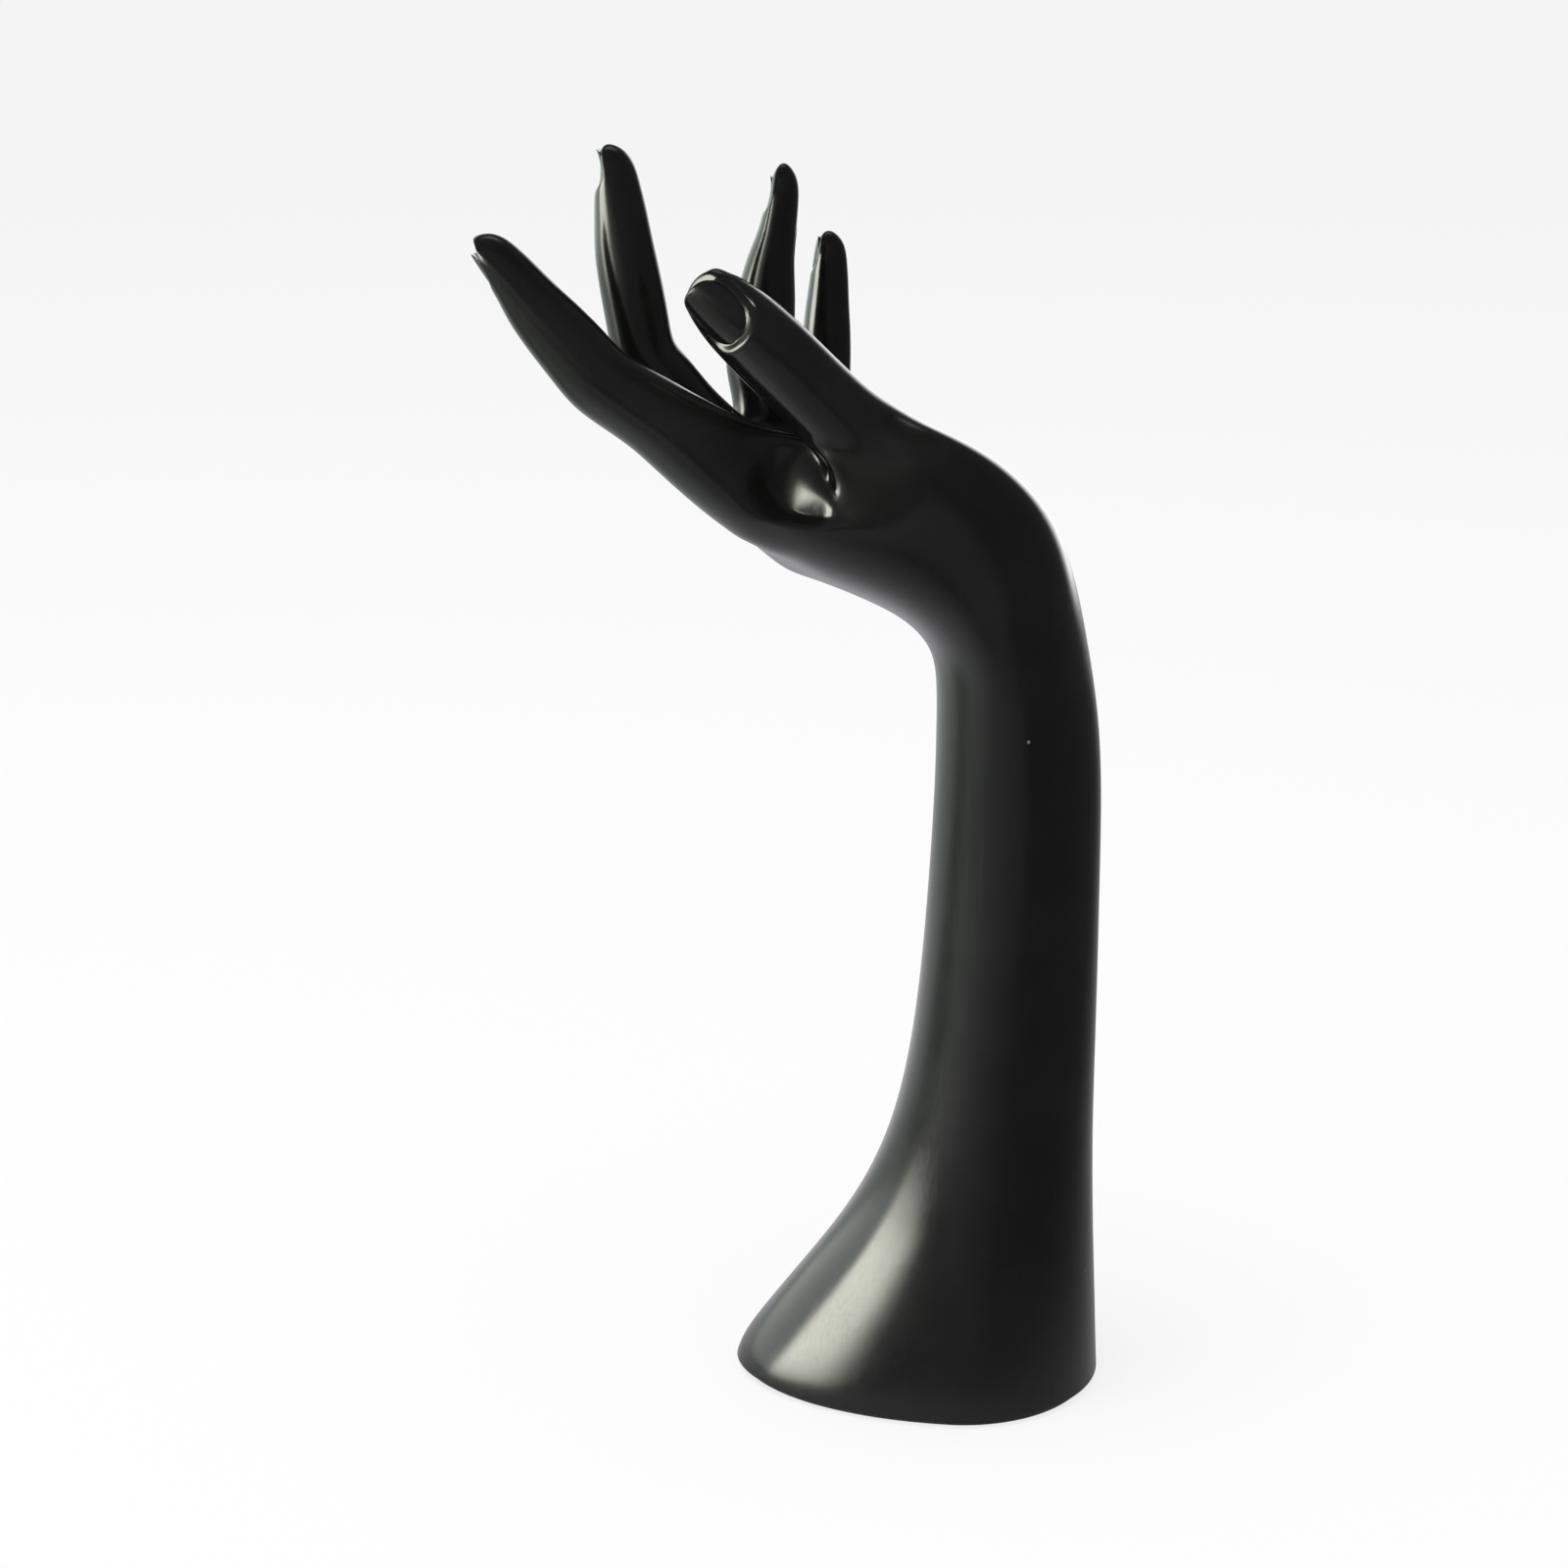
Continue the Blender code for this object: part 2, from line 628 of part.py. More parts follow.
def egg(centre_x, dorsal, palmar, half_width, count=48):
    """The outline of an egg: two half ellipses that share their width."""
    turn = 2 * math.pi * np.arange(count) / count
    reach = np.where(np.cos(turn) > 0, palmar, dorsal)
    return list(zip(centre_x + reach * np.cos(turn), half_width * np.sin(turn)))


def foot_egg(inset):
    dorsal = FOOT_DORSAL + FOOT_WIDEST_X - inset
    palmar = FOOT_PALMAR - FOOT_WIDEST_X - inset
    return egg(FOOT_WIDEST_X, dorsal, palmar, FOOT_HALF_WIDTH - inset)


def lathe(bm, profile, place, segments=20):
    """Turns a profile of radius and height round a vertical axis and closes both ends."""
    x, y = place
    rings = []
    for radius, z in profile:
        turn = [2 * math.pi * k / segments for k in range(segments)]
        ring = [((x + radius * math.cos(t)) * MM, (y + radius * math.sin(t)) * MM, z * MM) for t in turn]
        rings.append([bm.verts.new(point) for point in ring])
    for low, high in zip(rings, rings[1:]):
        for k in range(segments):
            nxt = (k + 1) % segments
            bm.faces.new((low[k], low[nxt], high[nxt], high[k]))
    bm.faces.new(list(reversed(rings[0])))
    bm.faces.new(rings[-1])


def screw_profile(radius, length, gap):
    """Half of a countersunk screw standing on its head, grown outward by the gap."""
    low = FOOT_Z - (CUT_BELOW if gap else 0.0)
    head = radius * HEAD_RATIO + gap
    end = FOOT_Z + length + (HOLE_BEYOND if gap else 0.0)
    return [
        (head, low),
        (head, FOOT_Z + HEAD_RIM),
        (radius + gap, FOOT_Z + HEAD_DEPTH),
        (radius + gap, end - TIP_CHAMFER),
        (radius + gap - TIP_CHAMFER, end),
    ]


def screw_places():
    side = FOOT_HALF_WIDTH - PLATE_SCREW_INSET
    plate = (PLATE_SCREW_RADIUS, PLATE_SCREW_LENGTH)
    ballast = (BALLAST_SCREW_RADIUS, BALLAST_SCREW_LENGTH)
    return {
        "plate_screw_thumb_side": (FOOT_WIDEST_X, -side, *plate),
        "plate_screw_far_side": (FOOT_WIDEST_X, side, *plate),
        "plate_screw_heel": (FOOT_PALMAR - PLATE_SCREW_INSET, 0.0, *plate),
        "plate_screw_toe": (TOE_SCREW_INSET - FOOT_DORSAL, 0.0, *plate),
        "ballast_screw_front": (BALLAST_X, -BALLAST_SCREW_SPREAD, *ballast),
        "ballast_screw_rear": (BALLAST_X, BALLAST_SCREW_SPREAD, *ballast),
    }


def screws():
    """The screws, each with a hexagon socket, and one helper that is all their holes with clearance."""
    made = []
    holes = bmesh.new()
    sockets = bmesh.new()
    for name, (x, y, radius, length) in screw_places().items():
        bm = bmesh.new()
        lathe(bm, screw_profile(radius, length, 0.0), (x, y))
        mesh = bpy.data.meshes.new(name)
        bm.to_mesh(mesh)
        bm.free()
        screw = bpy.data.objects.new(name, mesh)
        bpy.context.scene.collection.objects.link(screw)
        made.append(screw)
        lathe(holes, screw_profile(radius, length, GAP), (x, y))
        drive = radius * DRIVE_RATIO
        lathe(sockets, [(drive, FOOT_Z - CUT_BELOW), (drive, FOOT_Z + DRIVE_DEPTH)], (x, y), segments=6)
    helpers = []
    for name, bm in (("screw_holes", holes), ("socket_cutter", sockets)):
        mesh = bpy.data.meshes.new(name)
        bm.to_mesh(mesh)
        bm.free()
        obj = bpy.data.objects.new(name, mesh)
        bpy.context.scene.collection.objects.link(obj)
        helpers.append(helper(obj))
    for screw in made:
        boolean(screw, helpers[1], "DIFFERENCE")
    return made, helpers[0]


def paint(obj, name, colour, metallic, roughness, coat=0.0):
    material = bpy.data.materials.new(name)
    material.use_nodes = True
    shader = material.node_tree.nodes["Principled BSDF"]
    shader.inputs["Base Color"].default_value = (*colour, 1)
    shader.inputs["Metallic"].default_value = metallic
    shader.inputs["Roughness"].default_value = roughness
    shader.inputs["Coat Weight"].default_value = coat
    obj.data.materials.clear()
    obj.data.materials.append(material)


def main():
    for obj in list(bpy.data.objects):
        bpy.data.objects.remove(obj)
    hand = hand_object()
    nails = helper(new_object("nail_plates", *nail_mesh()))
    face_outward(nails)
    boolean(hand, nails, "UNION")
    made, holes = screws()
    boolean(hand, holes, "DIFFERENCE")

    plate = prism("base_plate", foot_egg(RIM_WIDTH + GAP), FOOT_Z, FOOT_Z + PLATE_THICK, 0.25)
    boolean(plate, holes, "DIFFERENCE")
    low = FOOT_Z + PLATE_THICK + GAP
    outline = egg(BALLAST_X, BALLAST_DORSAL, BALLAST_PALMAR, BALLAST_HALF_WIDTH, 32)
    ballast = prism("ballast_weight", outline, low, low + BALLAST_HEIGHT, BALLAST_BEVEL)
    boolean(ballast, holes, "DIFFERENCE")
    pad = prism("felt_pad", foot_egg(PAD_INSET), 0.0, PAD_THICK, 0.3)

    paint(hand, "black_satin_resin", (0.012, 0.012, 0.011), 0.0, 0.3, 0.4)
    paint(plate, "zinc_plate", (0.55, 0.56, 0.57), 1.0, 0.4)
    paint(ballast, "cast_iron", (0.11, 0.11, 0.115), 0.8, 0.6)
    paint(pad, "black_felt", (0.02, 0.02, 0.021), 0.0, 0.95)
    for screw in made:
        paint(screw, screw.name + "_steel", (0.6, 0.6, 0.61), 1.0, 0.3)


main()
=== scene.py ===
# %% [markdown]
# # A display hand in black satin resin
#
# The object is a hand and forearm cast in one piece, the kind that stands on a shop counter and shows
# rings, bracelets and gloves. The imported model gives its solids, and this lesson adds the finer skin, the
# nails, the finish and a camera. The dressed object has to stay inside it.

# %% Load the imported model
import math

import bpy
import numpy as np
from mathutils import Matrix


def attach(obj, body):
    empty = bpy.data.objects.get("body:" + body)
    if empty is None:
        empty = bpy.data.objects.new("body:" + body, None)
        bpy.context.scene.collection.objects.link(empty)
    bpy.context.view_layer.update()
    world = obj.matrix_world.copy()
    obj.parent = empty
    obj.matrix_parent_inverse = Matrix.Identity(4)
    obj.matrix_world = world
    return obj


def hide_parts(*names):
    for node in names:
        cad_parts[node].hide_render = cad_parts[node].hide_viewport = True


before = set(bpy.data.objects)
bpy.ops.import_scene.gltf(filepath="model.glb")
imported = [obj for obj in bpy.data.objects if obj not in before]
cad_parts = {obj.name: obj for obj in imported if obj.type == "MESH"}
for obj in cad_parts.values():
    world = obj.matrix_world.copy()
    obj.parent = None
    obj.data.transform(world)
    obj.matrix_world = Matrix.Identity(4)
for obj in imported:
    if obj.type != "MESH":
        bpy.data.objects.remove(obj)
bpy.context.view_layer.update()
print("nodes:", ", ".join(sorted(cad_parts)))

# %% [markdown]
# ## The camera
#
# The picture was taken from the thumb side, a little to the right and from slightly above the fingertips.
# The distance sets how much the foot and the fingers differ in scale, and the lens then frames the whole
# object. Both were found by matching the rim of the foot and the outline of the fingers.

# %% Place the camera
from mathutils import Vector

EYE = Vector((0.0692, -0.8321, 0.3805))
TARGET = Vector((-0.033, 0.0, 0.148))


def aim(name, data, place, target):
    """A new object at a place, with its -Z towards the target."""
    made = bpy.data.objects.new(name, data)
    made.location = place
    made.rotation_mode = "QUATERNION"
    made.rotation_quaternion = (target - place).to_track_quat("-Z", "Y")
    bpy.context.scene.collection.objects.link(made)
    return made


camera = aim("camera", bpy.data.cameras.new("camera"), EYE, TARGET)
camera.data.lens = 83.83
camera.data.sensor_width = 36.0
bpy.context.scene.camera = camera
bpy.context.scene.view_settings.view_transform = "Standard"
print("camera distance in m:", round((EYE - TARGET).length, 3))

# %% [markdown]
# ## From stations to rings
#
# A mould maker describes an arm by its sections: where each one is, how it is tilted, and how far it reaches
# to the back, the palm and either side. One table row per section is enough, because the section itself is
# a formula. The ring is drawn a little too large, because smoothing pulls it in by a known share.

# %% Rings round the forearm and palm
MM = 0.001
ACROSS = np.array([0.0, 1.0, 0.0])
COLUMNS = 20
THENAR_COLUMN = 17.5
THENAR_SPREAD = 2.0
THENAR_LEAN = math.radians(24.0)

# Centre x, y, z; tilt of the axis above level, twist, skew; reach to the back, palm, thumb side and little
# finger side; the power of the superellipse; and how far the thumb's base stands out.
ARM = np.array([
    (11, 0, 1.8, 90, 0, 0, 55.5, 33.48, 35.98, 35.98, 2, 0),
    (11, 0, 5.2, 90, 0, 0, 54.4, 33.3, 35.7, 35.7, 2, 0),
    (11.5, 0, 12, 90, 0, 0, 50.2, 32.5, 34.4, 34.4, 2, 0),
    (12.5, 0, 22, 90, 0, 0, 43.6, 31.1, 32.3, 32.3, 2, 0),
    (14, 0, 33, 90, 0, 0, 36.6, 29.1, 30.2, 30.2, 2, 0),
    (16, 0, 46, 90, 0, 0, 30, 26.6, 28.2, 28.2, 2, 0),
    (18.5, 0, 62, 90, 0, 0, 25.4, 23.7, 26.8, 26.8, 2, 0),
    (20, 0, 81, 90, 0, 0, 22.4, 22.3, 25.8, 25.8, 2, 0),
    (21, 0, 103, 90, 0, 0, 20.7, 21.5, 25.2, 25.2, 2, 0),
    (22, 0, 127, 90, 0, 0, 20, 20.5, 24.8, 24.8, 2, 0),
    (22.5, 0, 150, 90, 0, 0, 19.3, 20, 24.8, 24.8, 2, 0),
    (22, 0, 168, 90, 0, 0, 18.6, 19.3, 25.2, 25.2, 2, 0),
    (20.5, 0, 181, 79, 1, 0, 17.6, 18.2, 26.2, 26.2, 2, 0),
    (16.6, 0, 191.5, 65, 2, 0, 16.6, 20, 27.6, 27.2, 2, 3),
    (7.9, 0, 200.6, 50, 4, 1, 16, 25.2, 29.4, 28.6, 2, 7.5),
    (-3, -0.5, 206, 38, 6, 3, 15.2, 22.6, 31.8, 30.2, 2, 15.5),
    (-12.5, -0.7, 209.2, 32, 8, 5, 14.2, 14.2, 33.4, 31.2, 2.3, 22.5),
])
PALM = np.array([
    (-19.5, -0.8, 211.8, 31, 9.5, 11, 14.8, 10.8, 33, 32, 2.6, -4.5),
    (-26, -1, 214, 32, 10.5, 16, 14.9, 9.6, 33.2, 32, 2.6, -3),
])


def unit(vectors):
    """Each vector divided by its own length."""
    return vectors / np.linalg.norm(vectors, axis=-1, keepdims=True)


def overdraw(columns):
    """The factor that smoothing takes back: 6 / (4 + 2 cos(full turn / columns))."""
    return 6 / (4 + 2 * math.cos(2 * math.pi / columns))


def sections(table):
    """One ring per row: centre - cos(turn) x side reach x side axis - sin(turn) x back reach x palmar axis.

    The reach differs on each half of the turn, and the ellipse becomes a superellipse by the factor
    (|cos|^p + |sin|^p)^(-1/p). The thumb's base is a bell-shaped push round one column.
    """
    tilt, twist, skew = np.radians(table[:, 3:6]).T[:, :, None]
    zero = np.zeros_like(tilt)
    along = np.concatenate([-np.cos(tilt), zero, np.sin(tilt)], axis=1)
    level = np.concatenate([np.sin(tilt), zero, np.cos(tilt)], axis=1)
    palmar = level * np.cos(twist) + ACROSS * np.sin(twist)
    side = ACROSS * np.cos(twist) - level * np.sin(twist) - along * np.sin(skew)
    column = np.arange(COLUMNS)
    turn = 2 * np.pi * column / COLUMNS
    back, palm, thumb, little, power, push = table[:, 6:].T[:, :, None]
    fuller = (np.abs(np.cos(turn)) ** power + np.abs(np.sin(turn)) ** power) ** (-1 / power)
    grow = overdraw(COLUMNS) * fuller
    sideways = -np.cos(turn) * np.where(np.cos(turn) > 0, thumb, little) * grow
    upward = -np.sin(turn) * np.where(np.sin(turn) > 0, back, palm) * grow
    away = np.abs(column - THENAR_COLUMN)
    bulge = push * np.exp(-((np.minimum(away, COLUMNS - away) / THENAR_SPREAD) ** 2))
    lean = palmar * math.cos(THENAR_LEAN) - side * math.sin(THENAR_LEAN)
    rings = table[:, None, :3] + sideways[..., None] * side[:, None]
    return rings + upward[..., None] * palmar[:, None] + bulge[..., None] * lean[:, None]


arm_rings = sections(ARM)
palm_rings = sections(PALM)
print("arm rings:", arm_rings.shape, "palm rings:", palm_rings.shape)

# %% [markdown]
# ## The digits
#
# A finger is three straight bones with a slight bend at each joint, so three lengths and three directions
# place it, and four widths and depths give its taper. Rings are set where the form changes: at the web, on
# both sides of each joint and under the nail. The thumb's rings lie along a curve and face their own way.

# %% Rings round the fingers and thumb
DIGIT_COLUMNS = 8
KNUCKLE_LINE = np.array([8.5, 48.5, -16.0])
PALM_PITCH = 31.0

# First joint, then pitch above level, yaw towards the little finger and length of each bone, half widths and
# half depths from root to tip, the depth of the root on the palm side, and the depth of the back on the four
# rings under the nail.
FINGERS = {
    "index": ((-34, -25, 222.4), (34.7, 48.5, 46.5), (-2, 2, 3), (46.4, 23.2, 20.2),
              (9.4, 8.3, 7, 4.8), (11.6, 8.5, 6.7, 4.2), 10.6, (5, 4.1, 3.3, 1.9)),
    "middle": ((-34.5, -9, 218.5), (47.7, 79.5, 79.8), (0, 2, 3), (44, 26.5, 24.3),
               (8.9, 8.2, 7.2, 5.2), (10.2, 7.7, 6.9, 4.8), 5.6, (5.7, 4.7, 2.8, 1.9)),
    "ring": ((-33.5, 8, 212.5), (79.5, 97, 98), (3, 1, 0), (37, 23.5, 23.5),
             (8.4, 7.2, 6.2, 4.2), (10.8, 8, 5.4, 3.6), 8.6, (3.7, 3.2, 2.6, 1.9)),
    "little": ((-25.5, 23, 206.5), (88.5, 91, 90), (8, 3, 0), (35, 18, 18.3),
               (7.4, 6.2, 5.4, 3.7), (8.6, 6.3, 5.2, 3.5), 8, (4.5, 4, 3.2, 2)),
}
# Centre x, y, z, half width and half depth, from the first web to the tip.
THUMB = np.array([
    (-11.5, -21.8, 234.6, 10.4, 10.4),
    (-17.5, -23.5, 240, 9.6, 9.4),
    (-24.2, -25.4, 247.2, 9.2, 9),
    (-31, -26.85, 254.2, 9.4, 9),
    (-34.6, -27.5, 257.7, 9.4, 8.7),
    (-38, -28, 261, 9.2, 8.4),
    (-41.4, -28.5, 264.2, 8.9, 7.8),
    (-44.4, -28.8, 267, 8.2, 6.8),
    (-46.8, -28.9, 269.2, 7.2, 5.8),
    (-48.6, -29, 270.8, 6, 4.8),
])
THUMB_TIP = np.array([-50.8, -29, 272.6])
THUMB_TURN = math.radians(-45.0)


def heading(pitch, yaw):
    """The direction of a bone: back towards -X by the pitch, and aside by the yaw."""
    pitch, yaw = np.radians(pitch), np.radians(yaw)
    return np.stack([-np.cos(pitch) * np.cos(yaw), np.sin(yaw), np.sin(pitch) * np.cos(yaw)], axis=-1)


def digit_rings(centres, ways, half_width, half_back, half_front, side=ACROSS):
    """Eight points round each centre: - cos(turn) x half width x side + sin(turn) x half depth x back."""
    ways = unit(ways)
    side = unit(side - (ways @ side)[:, None] * ways)
    back = np.cross(ways, side)
    turn = 2 * np.pi * np.arange(DIGIT_COLUMNS) / DIGIT_COLUMNS
    half_width, half_back, half_front = np.array([half_width, half_back, half_front])[..., None]
    upward = np.sin(turn) * np.where(np.sin(turn) > 0, half_back, half_front)
    offset = (-np.cos(turn) * half_width)[..., None] * side[:, None] + upward[..., None] * back[:, None]
    return np.asarray(centres)[:, None] + overdraw(DIGIT_COLUMNS) * offset


def finger(joint, pitch, yaw, length, width, depth, front, nail_side):
    """The knuckle ring, the rings from web to tip, and the tip point of one finger."""
    w0, w1, w2, w3 = width
    d0, d1, d2, d3 = depth
    ways = heading(pitch, yaw)
    length = np.array(length)
    corner = np.vstack([joint, ways * length[:, None]]).cumsum(axis=0)
    share = np.array([0.45, 0.66, 0.86, 1.0, 1.3, 1.68, 2.0, 2.25, 2.5, 2.7, 2.86])
    bone = np.minimum(share.astype(int), 2)
    bone[3], bone[6] = 0, 1
    centres = corner[bone] + ways[bone] * (length[bone] * (share - bone))[:, None]
    turned = ways[bone].copy()
    turned[3] += ways[1]
    turned[6] += ways[2]
    widths = [w0, (w0 + w1) / 2, w1, w1, w1 * 0.96, (w1 + w2) / 2, w2, w2 * 0.97, w2 * 0.92,
              w2 * 0.5 + w3 * 0.55, w3 * 0.86]
    backs = [(d0 + d1) / 2, d1 * 0.96, d1, d1, d1 * 0.94, (d1 + d2) / 2, d2, *nail_side]
    fronts = [front, (front + d1) / 2, d1, d1 * 0.95, d1 * 0.96, (d1 + d2) / 2, d2, d2 * 0.98, d2 * 0.92,
              d2 * 0.5 + d3 * 0.52, d3 * 0.86]
    rings = digit_rings(centres, turned, widths, backs, fronts)
    bent = (ways[0] + heading(PALM_PITCH, 0))[None]
    knuckle = digit_rings([joint], bent, [w0 + 0.2], [d0 + 0.6], [front + 0.6], KNUCKLE_LINE)[0]
    return knuckle, rings, corner[3]


def thumb():
    """The thumb's rings, and the directions near its tip: along, aside and out of its back.

    The back leans by (0.7 sin, -cos, 0.7 sin) of the turn, and the fifth column is its middle.
    """
    ways = unit(np.diff(np.vstack([THUMB[:, :3], THUMB_TIP]), axis=0))
    out = np.array([0.7 * math.sin(THUMB_TURN), -math.cos(THUMB_TURN), 0.7 * math.sin(THUMB_TURN)])
    out = unit(out - (ways @ out)[:, None] * ways)
    side = np.cross(ways, out)
    spin = np.radians(45) * (4 - np.arange(DIGIT_COLUMNS))
    reach_out = np.cos(spin) * THUMB[:, 4:5]
    reach_side = np.sin(spin) * THUMB[:, 3:4]
    offset = reach_out[..., None] * out[:, None] + reach_side[..., None] * side[:, None]
    return THUMB[:, None, :3] + overdraw(DIGIT_COLUMNS) * offset, ways[-2], side[-2], out[-2]


fingers = {name: finger(*plan) for name, plan in FINGERS.items()}
thumb_rings, *thumb_axes = thumb()
print("rings:", {name: len(parts[1]) for name, parts in fingers.items()}, "thumb:", len(thumb_rings))

# %% [markdown]
# ## One cage for the whole hand
#
# The rings become one closed mesh of four-sided faces. Twenty columns run up the arm. At the first web they
# divide: eight go round the thumb and twenty round the palm, and at the finger webs they divide again into
# four fingers of eight columns each. Neighbours share their points, so there is no seam, and a subdivision
# surface can round the whole form in one step.

# %% Join the rings
FIRST_WEB = np.array([(-18.2, -34.2, 218.5), (-18, -27, 234), (-12, -14, 231)])
# The fold of skin between thumb and index finger. On each ring: the palm behind it, its edge, the hollow
# outside it and the ridge below.
SKIN_FOLD = np.array([
    [(-18.5, -17.5, 229), (-22.5, -24.5, 239), (-23, -27, 225), (-22.8, -34.2, 218.2)],
    [(-25.5, -19, 231.5), (-28.6, -26, 240.2), (-30.5, -27.6, 228), (-30.5, -35, 219.6)],
    [(-31.5, -17, 234), (-35.5, -25, 241.5), (-38, -29.5, 233), (-36.5, -35.6, 222.6)],
])
palm_rings[:, [17, 18, 19, 0]] = SKIN_FOLD[:2]
fingers["index"][0][[5, 6, 7, 0]] = SKIN_FOLD[2]

cage_points = []
cage_faces = []


def add(points):
    """Adds points and returns their numbers."""
    start = sum(len(block) for block in cage_points)
    cage_points.append(np.atleast_2d(points))
    return np.arange(start, start + len(cage_points[-1]))


def bridge(lower, upper):
    """One face between each pair of neighbours on two rings."""
    cage_faces.append(np.stack([lower, upper, np.roll(upper, -1), np.roll(lower, -1)], axis=1))


def tower(below, rings, inward=False):
    """Bridges ring after ring upward, facing out or inward, and returns the last one's numbers."""
    for ring in rings:
        above = add(ring)
        bridge(*((above, below) if inward else (below, above)))
        below = above
    return below


def cap(ring, point, inward=False):
    """Closes a ring with faces that each span two columns and meet in the middle."""
    sides = [np.full(len(ring) // 2, add(point)[0]), ring[1::2]]
    first, last = sides[::-1] if inward else sides
    cage_faces.append(np.stack([ring[0::2], first, np.roll(ring, -2)[0::2], last], axis=1))


def side_by_side(rings, inner):
    """Four finger rings with shared corners: one loop of twenty, and each finger's own eight numbers."""
    shared = [add([(a[3] + b[1]) / 2, (a[5] + b[7]) / 2]) for a, b in zip(rings, rings[1:])]
    middle = [add((a[4] + b[0]) / 2)[0] if inner else -1 for a, b in zip(rings, rings[1:])]
    roots = [add(ring) for ring in rings]
    for root, pair, centre in zip(roots, shared, middle):
        root[3], root[4], root[5] = pair[0], centre, pair[1]
    for root, pair, centre in zip(roots[1:], shared, middle):
        root[0], root[1], root[7] = centre, pair[0], pair[1]
    i, m, r, s = roots
    back = [i[0], i[1], i[2], i[3], m[2], m[3], r[2], r[3], s[2], s[3], s[4]]
    front = [s[5], s[6], r[5], r[6], m[5], m[6], i[5], i[6], i[7]]
    return np.array(back + front), roots


foot = add(arm_rings[0])
carpal = tower(foot, arm_rings[1:])
web = add(FIRST_WEB)
thumb_end = tower(np.concatenate([carpal[16:], carpal[:1], web]), thumb_rings)
cap(thumb_end, THUMB_TIP)
palm_end = tower(np.concatenate([carpal[:17], web[::-1]]), palm_rings)
knuckles, _ = side_by_side([parts[0] for parts in fingers.values()], inner=False)
bridge(palm_end, knuckles)
webs, roots = side_by_side([parts[1][0] for parts in fingers.values()], inner=True)
bridge(knuckles, webs)
for root, (_, rings, tip) in zip(roots, fingers.values()):
    cap(tower(root, rings[1:]), tip)
print("faces outside:", sum(len(block) for block in cage_faces))

# %% [markdown]
# ## The hollow inside the foot
#
# The casting is hollow. Its underside has a thin rim, a shallow recess for the closing plate and a ledge
# for the screws, which show only when the object is picked up. The inside follows the outer sections, so the
# same table gives it with smaller reaches. The wall grows thicker towards the ledge, and a low dome closes
# the hollow above.

# %% Hollow the foot
WALL = 4.5
RIM_WIDTH = 3.2
RECESS_TOP = 4.1
LEDGE_SIDES, LEDGE_TOE = 11.0, 21.0
LEDGE_FADES = 62.0
HOLLOW_TOP = 158.0
DOME_SHARE, DOME_RISE, CROWN_RISE = 0.62, 6.0, 7.5
# Each ring of the underside: how far in it lies at the sides and at the toe, and its height.
STEPS = [(RIM_WIDTH, RIM_WIDTH, 1.8), (RIM_WIDTH, RIM_WIDTH, RECESS_TOP),
         (LEDGE_SIDES, LEDGE_TOE, RECESS_TOP)]


def inset(row, sides, toe, height):
    """The section at another height and with smaller reaches."""
    smaller = row.copy()
    smaller[2] = height
    smaller[6:10] -= (toe, sides, sides, sides)
    return smaller


hollow_rows = []
for row in ARM[2:][ARM[2:, 2] < HOLLOW_TOP]:
    t = max(0.0, 1 - row[2] / LEDGE_FADES)
    hollow_rows.append(inset(row, WALL + (LEDGE_SIDES - WALL) * t, WALL + (LEDGE_TOE - WALL) * t, row[2]))
hollow_rings = sections(np.array(hollow_rows))
steps = [add(ring) for ring in sections(np.array([inset(ARM[0], *step) for step in STEPS]))]
for outer, inner in zip([foot] + steps, steps):
    bridge(inner, outer)
below = tower(steps[-1], hollow_rings, inward=True)
middle = hollow_rings[-1].mean(axis=0)
dome = add(middle + (hollow_rings[-1] - middle) * DOME_SHARE + np.array([0, 0, DOME_RISE]))
bridge(dome, below)
cap(dome, middle + np.array([0, 0, CROWN_RISE]), inward=True)
creased = np.concatenate([np.stack([ring, np.roll(ring, -1)], axis=1) for ring in [foot] + steps])
print("hollow sections:", len(hollow_rings))

# %% [markdown]
# ## Rounding the cage
#
# A subdivision surface turns the cage into skin. Three levels give a point about every millimetre, close
# enough for carving nails and folds. The steps at the foot are marked as creases, which stay sharp. The mesh
# is then read back as arrays, so the carving can be plain formulas on points.

# %% Smooth the cage
def mesh_object(name, points, faces):
    """A new object from points in millimetres and a list or an array of faces."""
    mesh = bpy.data.meshes.new(name)
    mesh.from_pydata((np.asarray(points) * MM).tolist(), [], [tuple(face) for face in faces])
    made = bpy.data.objects.new(name, mesh)
    bpy.context.scene.collection.objects.link(made)
    return made


def read(items, field, width, kind=float):
    """One field of a mesh's points, edges or normals, as an array with a row for each."""
    flat = np.empty(len(items) * width, kind)
    items.foreach_get(field, flat)
    return flat.reshape(-1, width)


used, faces = np.unique(np.concatenate(cage_faces), return_inverse=True)
cage = mesh_object("cage", np.concatenate(cage_points)[used], faces.reshape(-1, 4))
pairs = np.sort(np.searchsorted(used, creased), axis=1)
edges = np.sort(read(cage.data.edges, "vertices", 2, np.int64), axis=1)
key = np.array([len(used), 1])
sharp = np.isin(edges @ key, pairs @ key)
crease = cage.data.attributes.new("crease_edge", "FLOAT", "EDGE")
crease.data.foreach_set("value", sharp.astype(np.float32))
rounding = cage.modifiers.new("Round", "SUBSURF")
rounding.levels = rounding.render_levels = 3
rounding.use_limit_surface = False
graph = bpy.context.evaluated_depsgraph_get()
skin = bpy.data.meshes.new_from_object(cage.evaluated_get(graph))
bpy.data.objects.remove(cage)
points = read(skin.vertices, "co", 3) / MM
edges = read(skin.edges, "vertices", 2, np.int64)
print("skin points:", len(points), "box:", points.min(axis=0).round(1), points.max(axis=0).round(1))

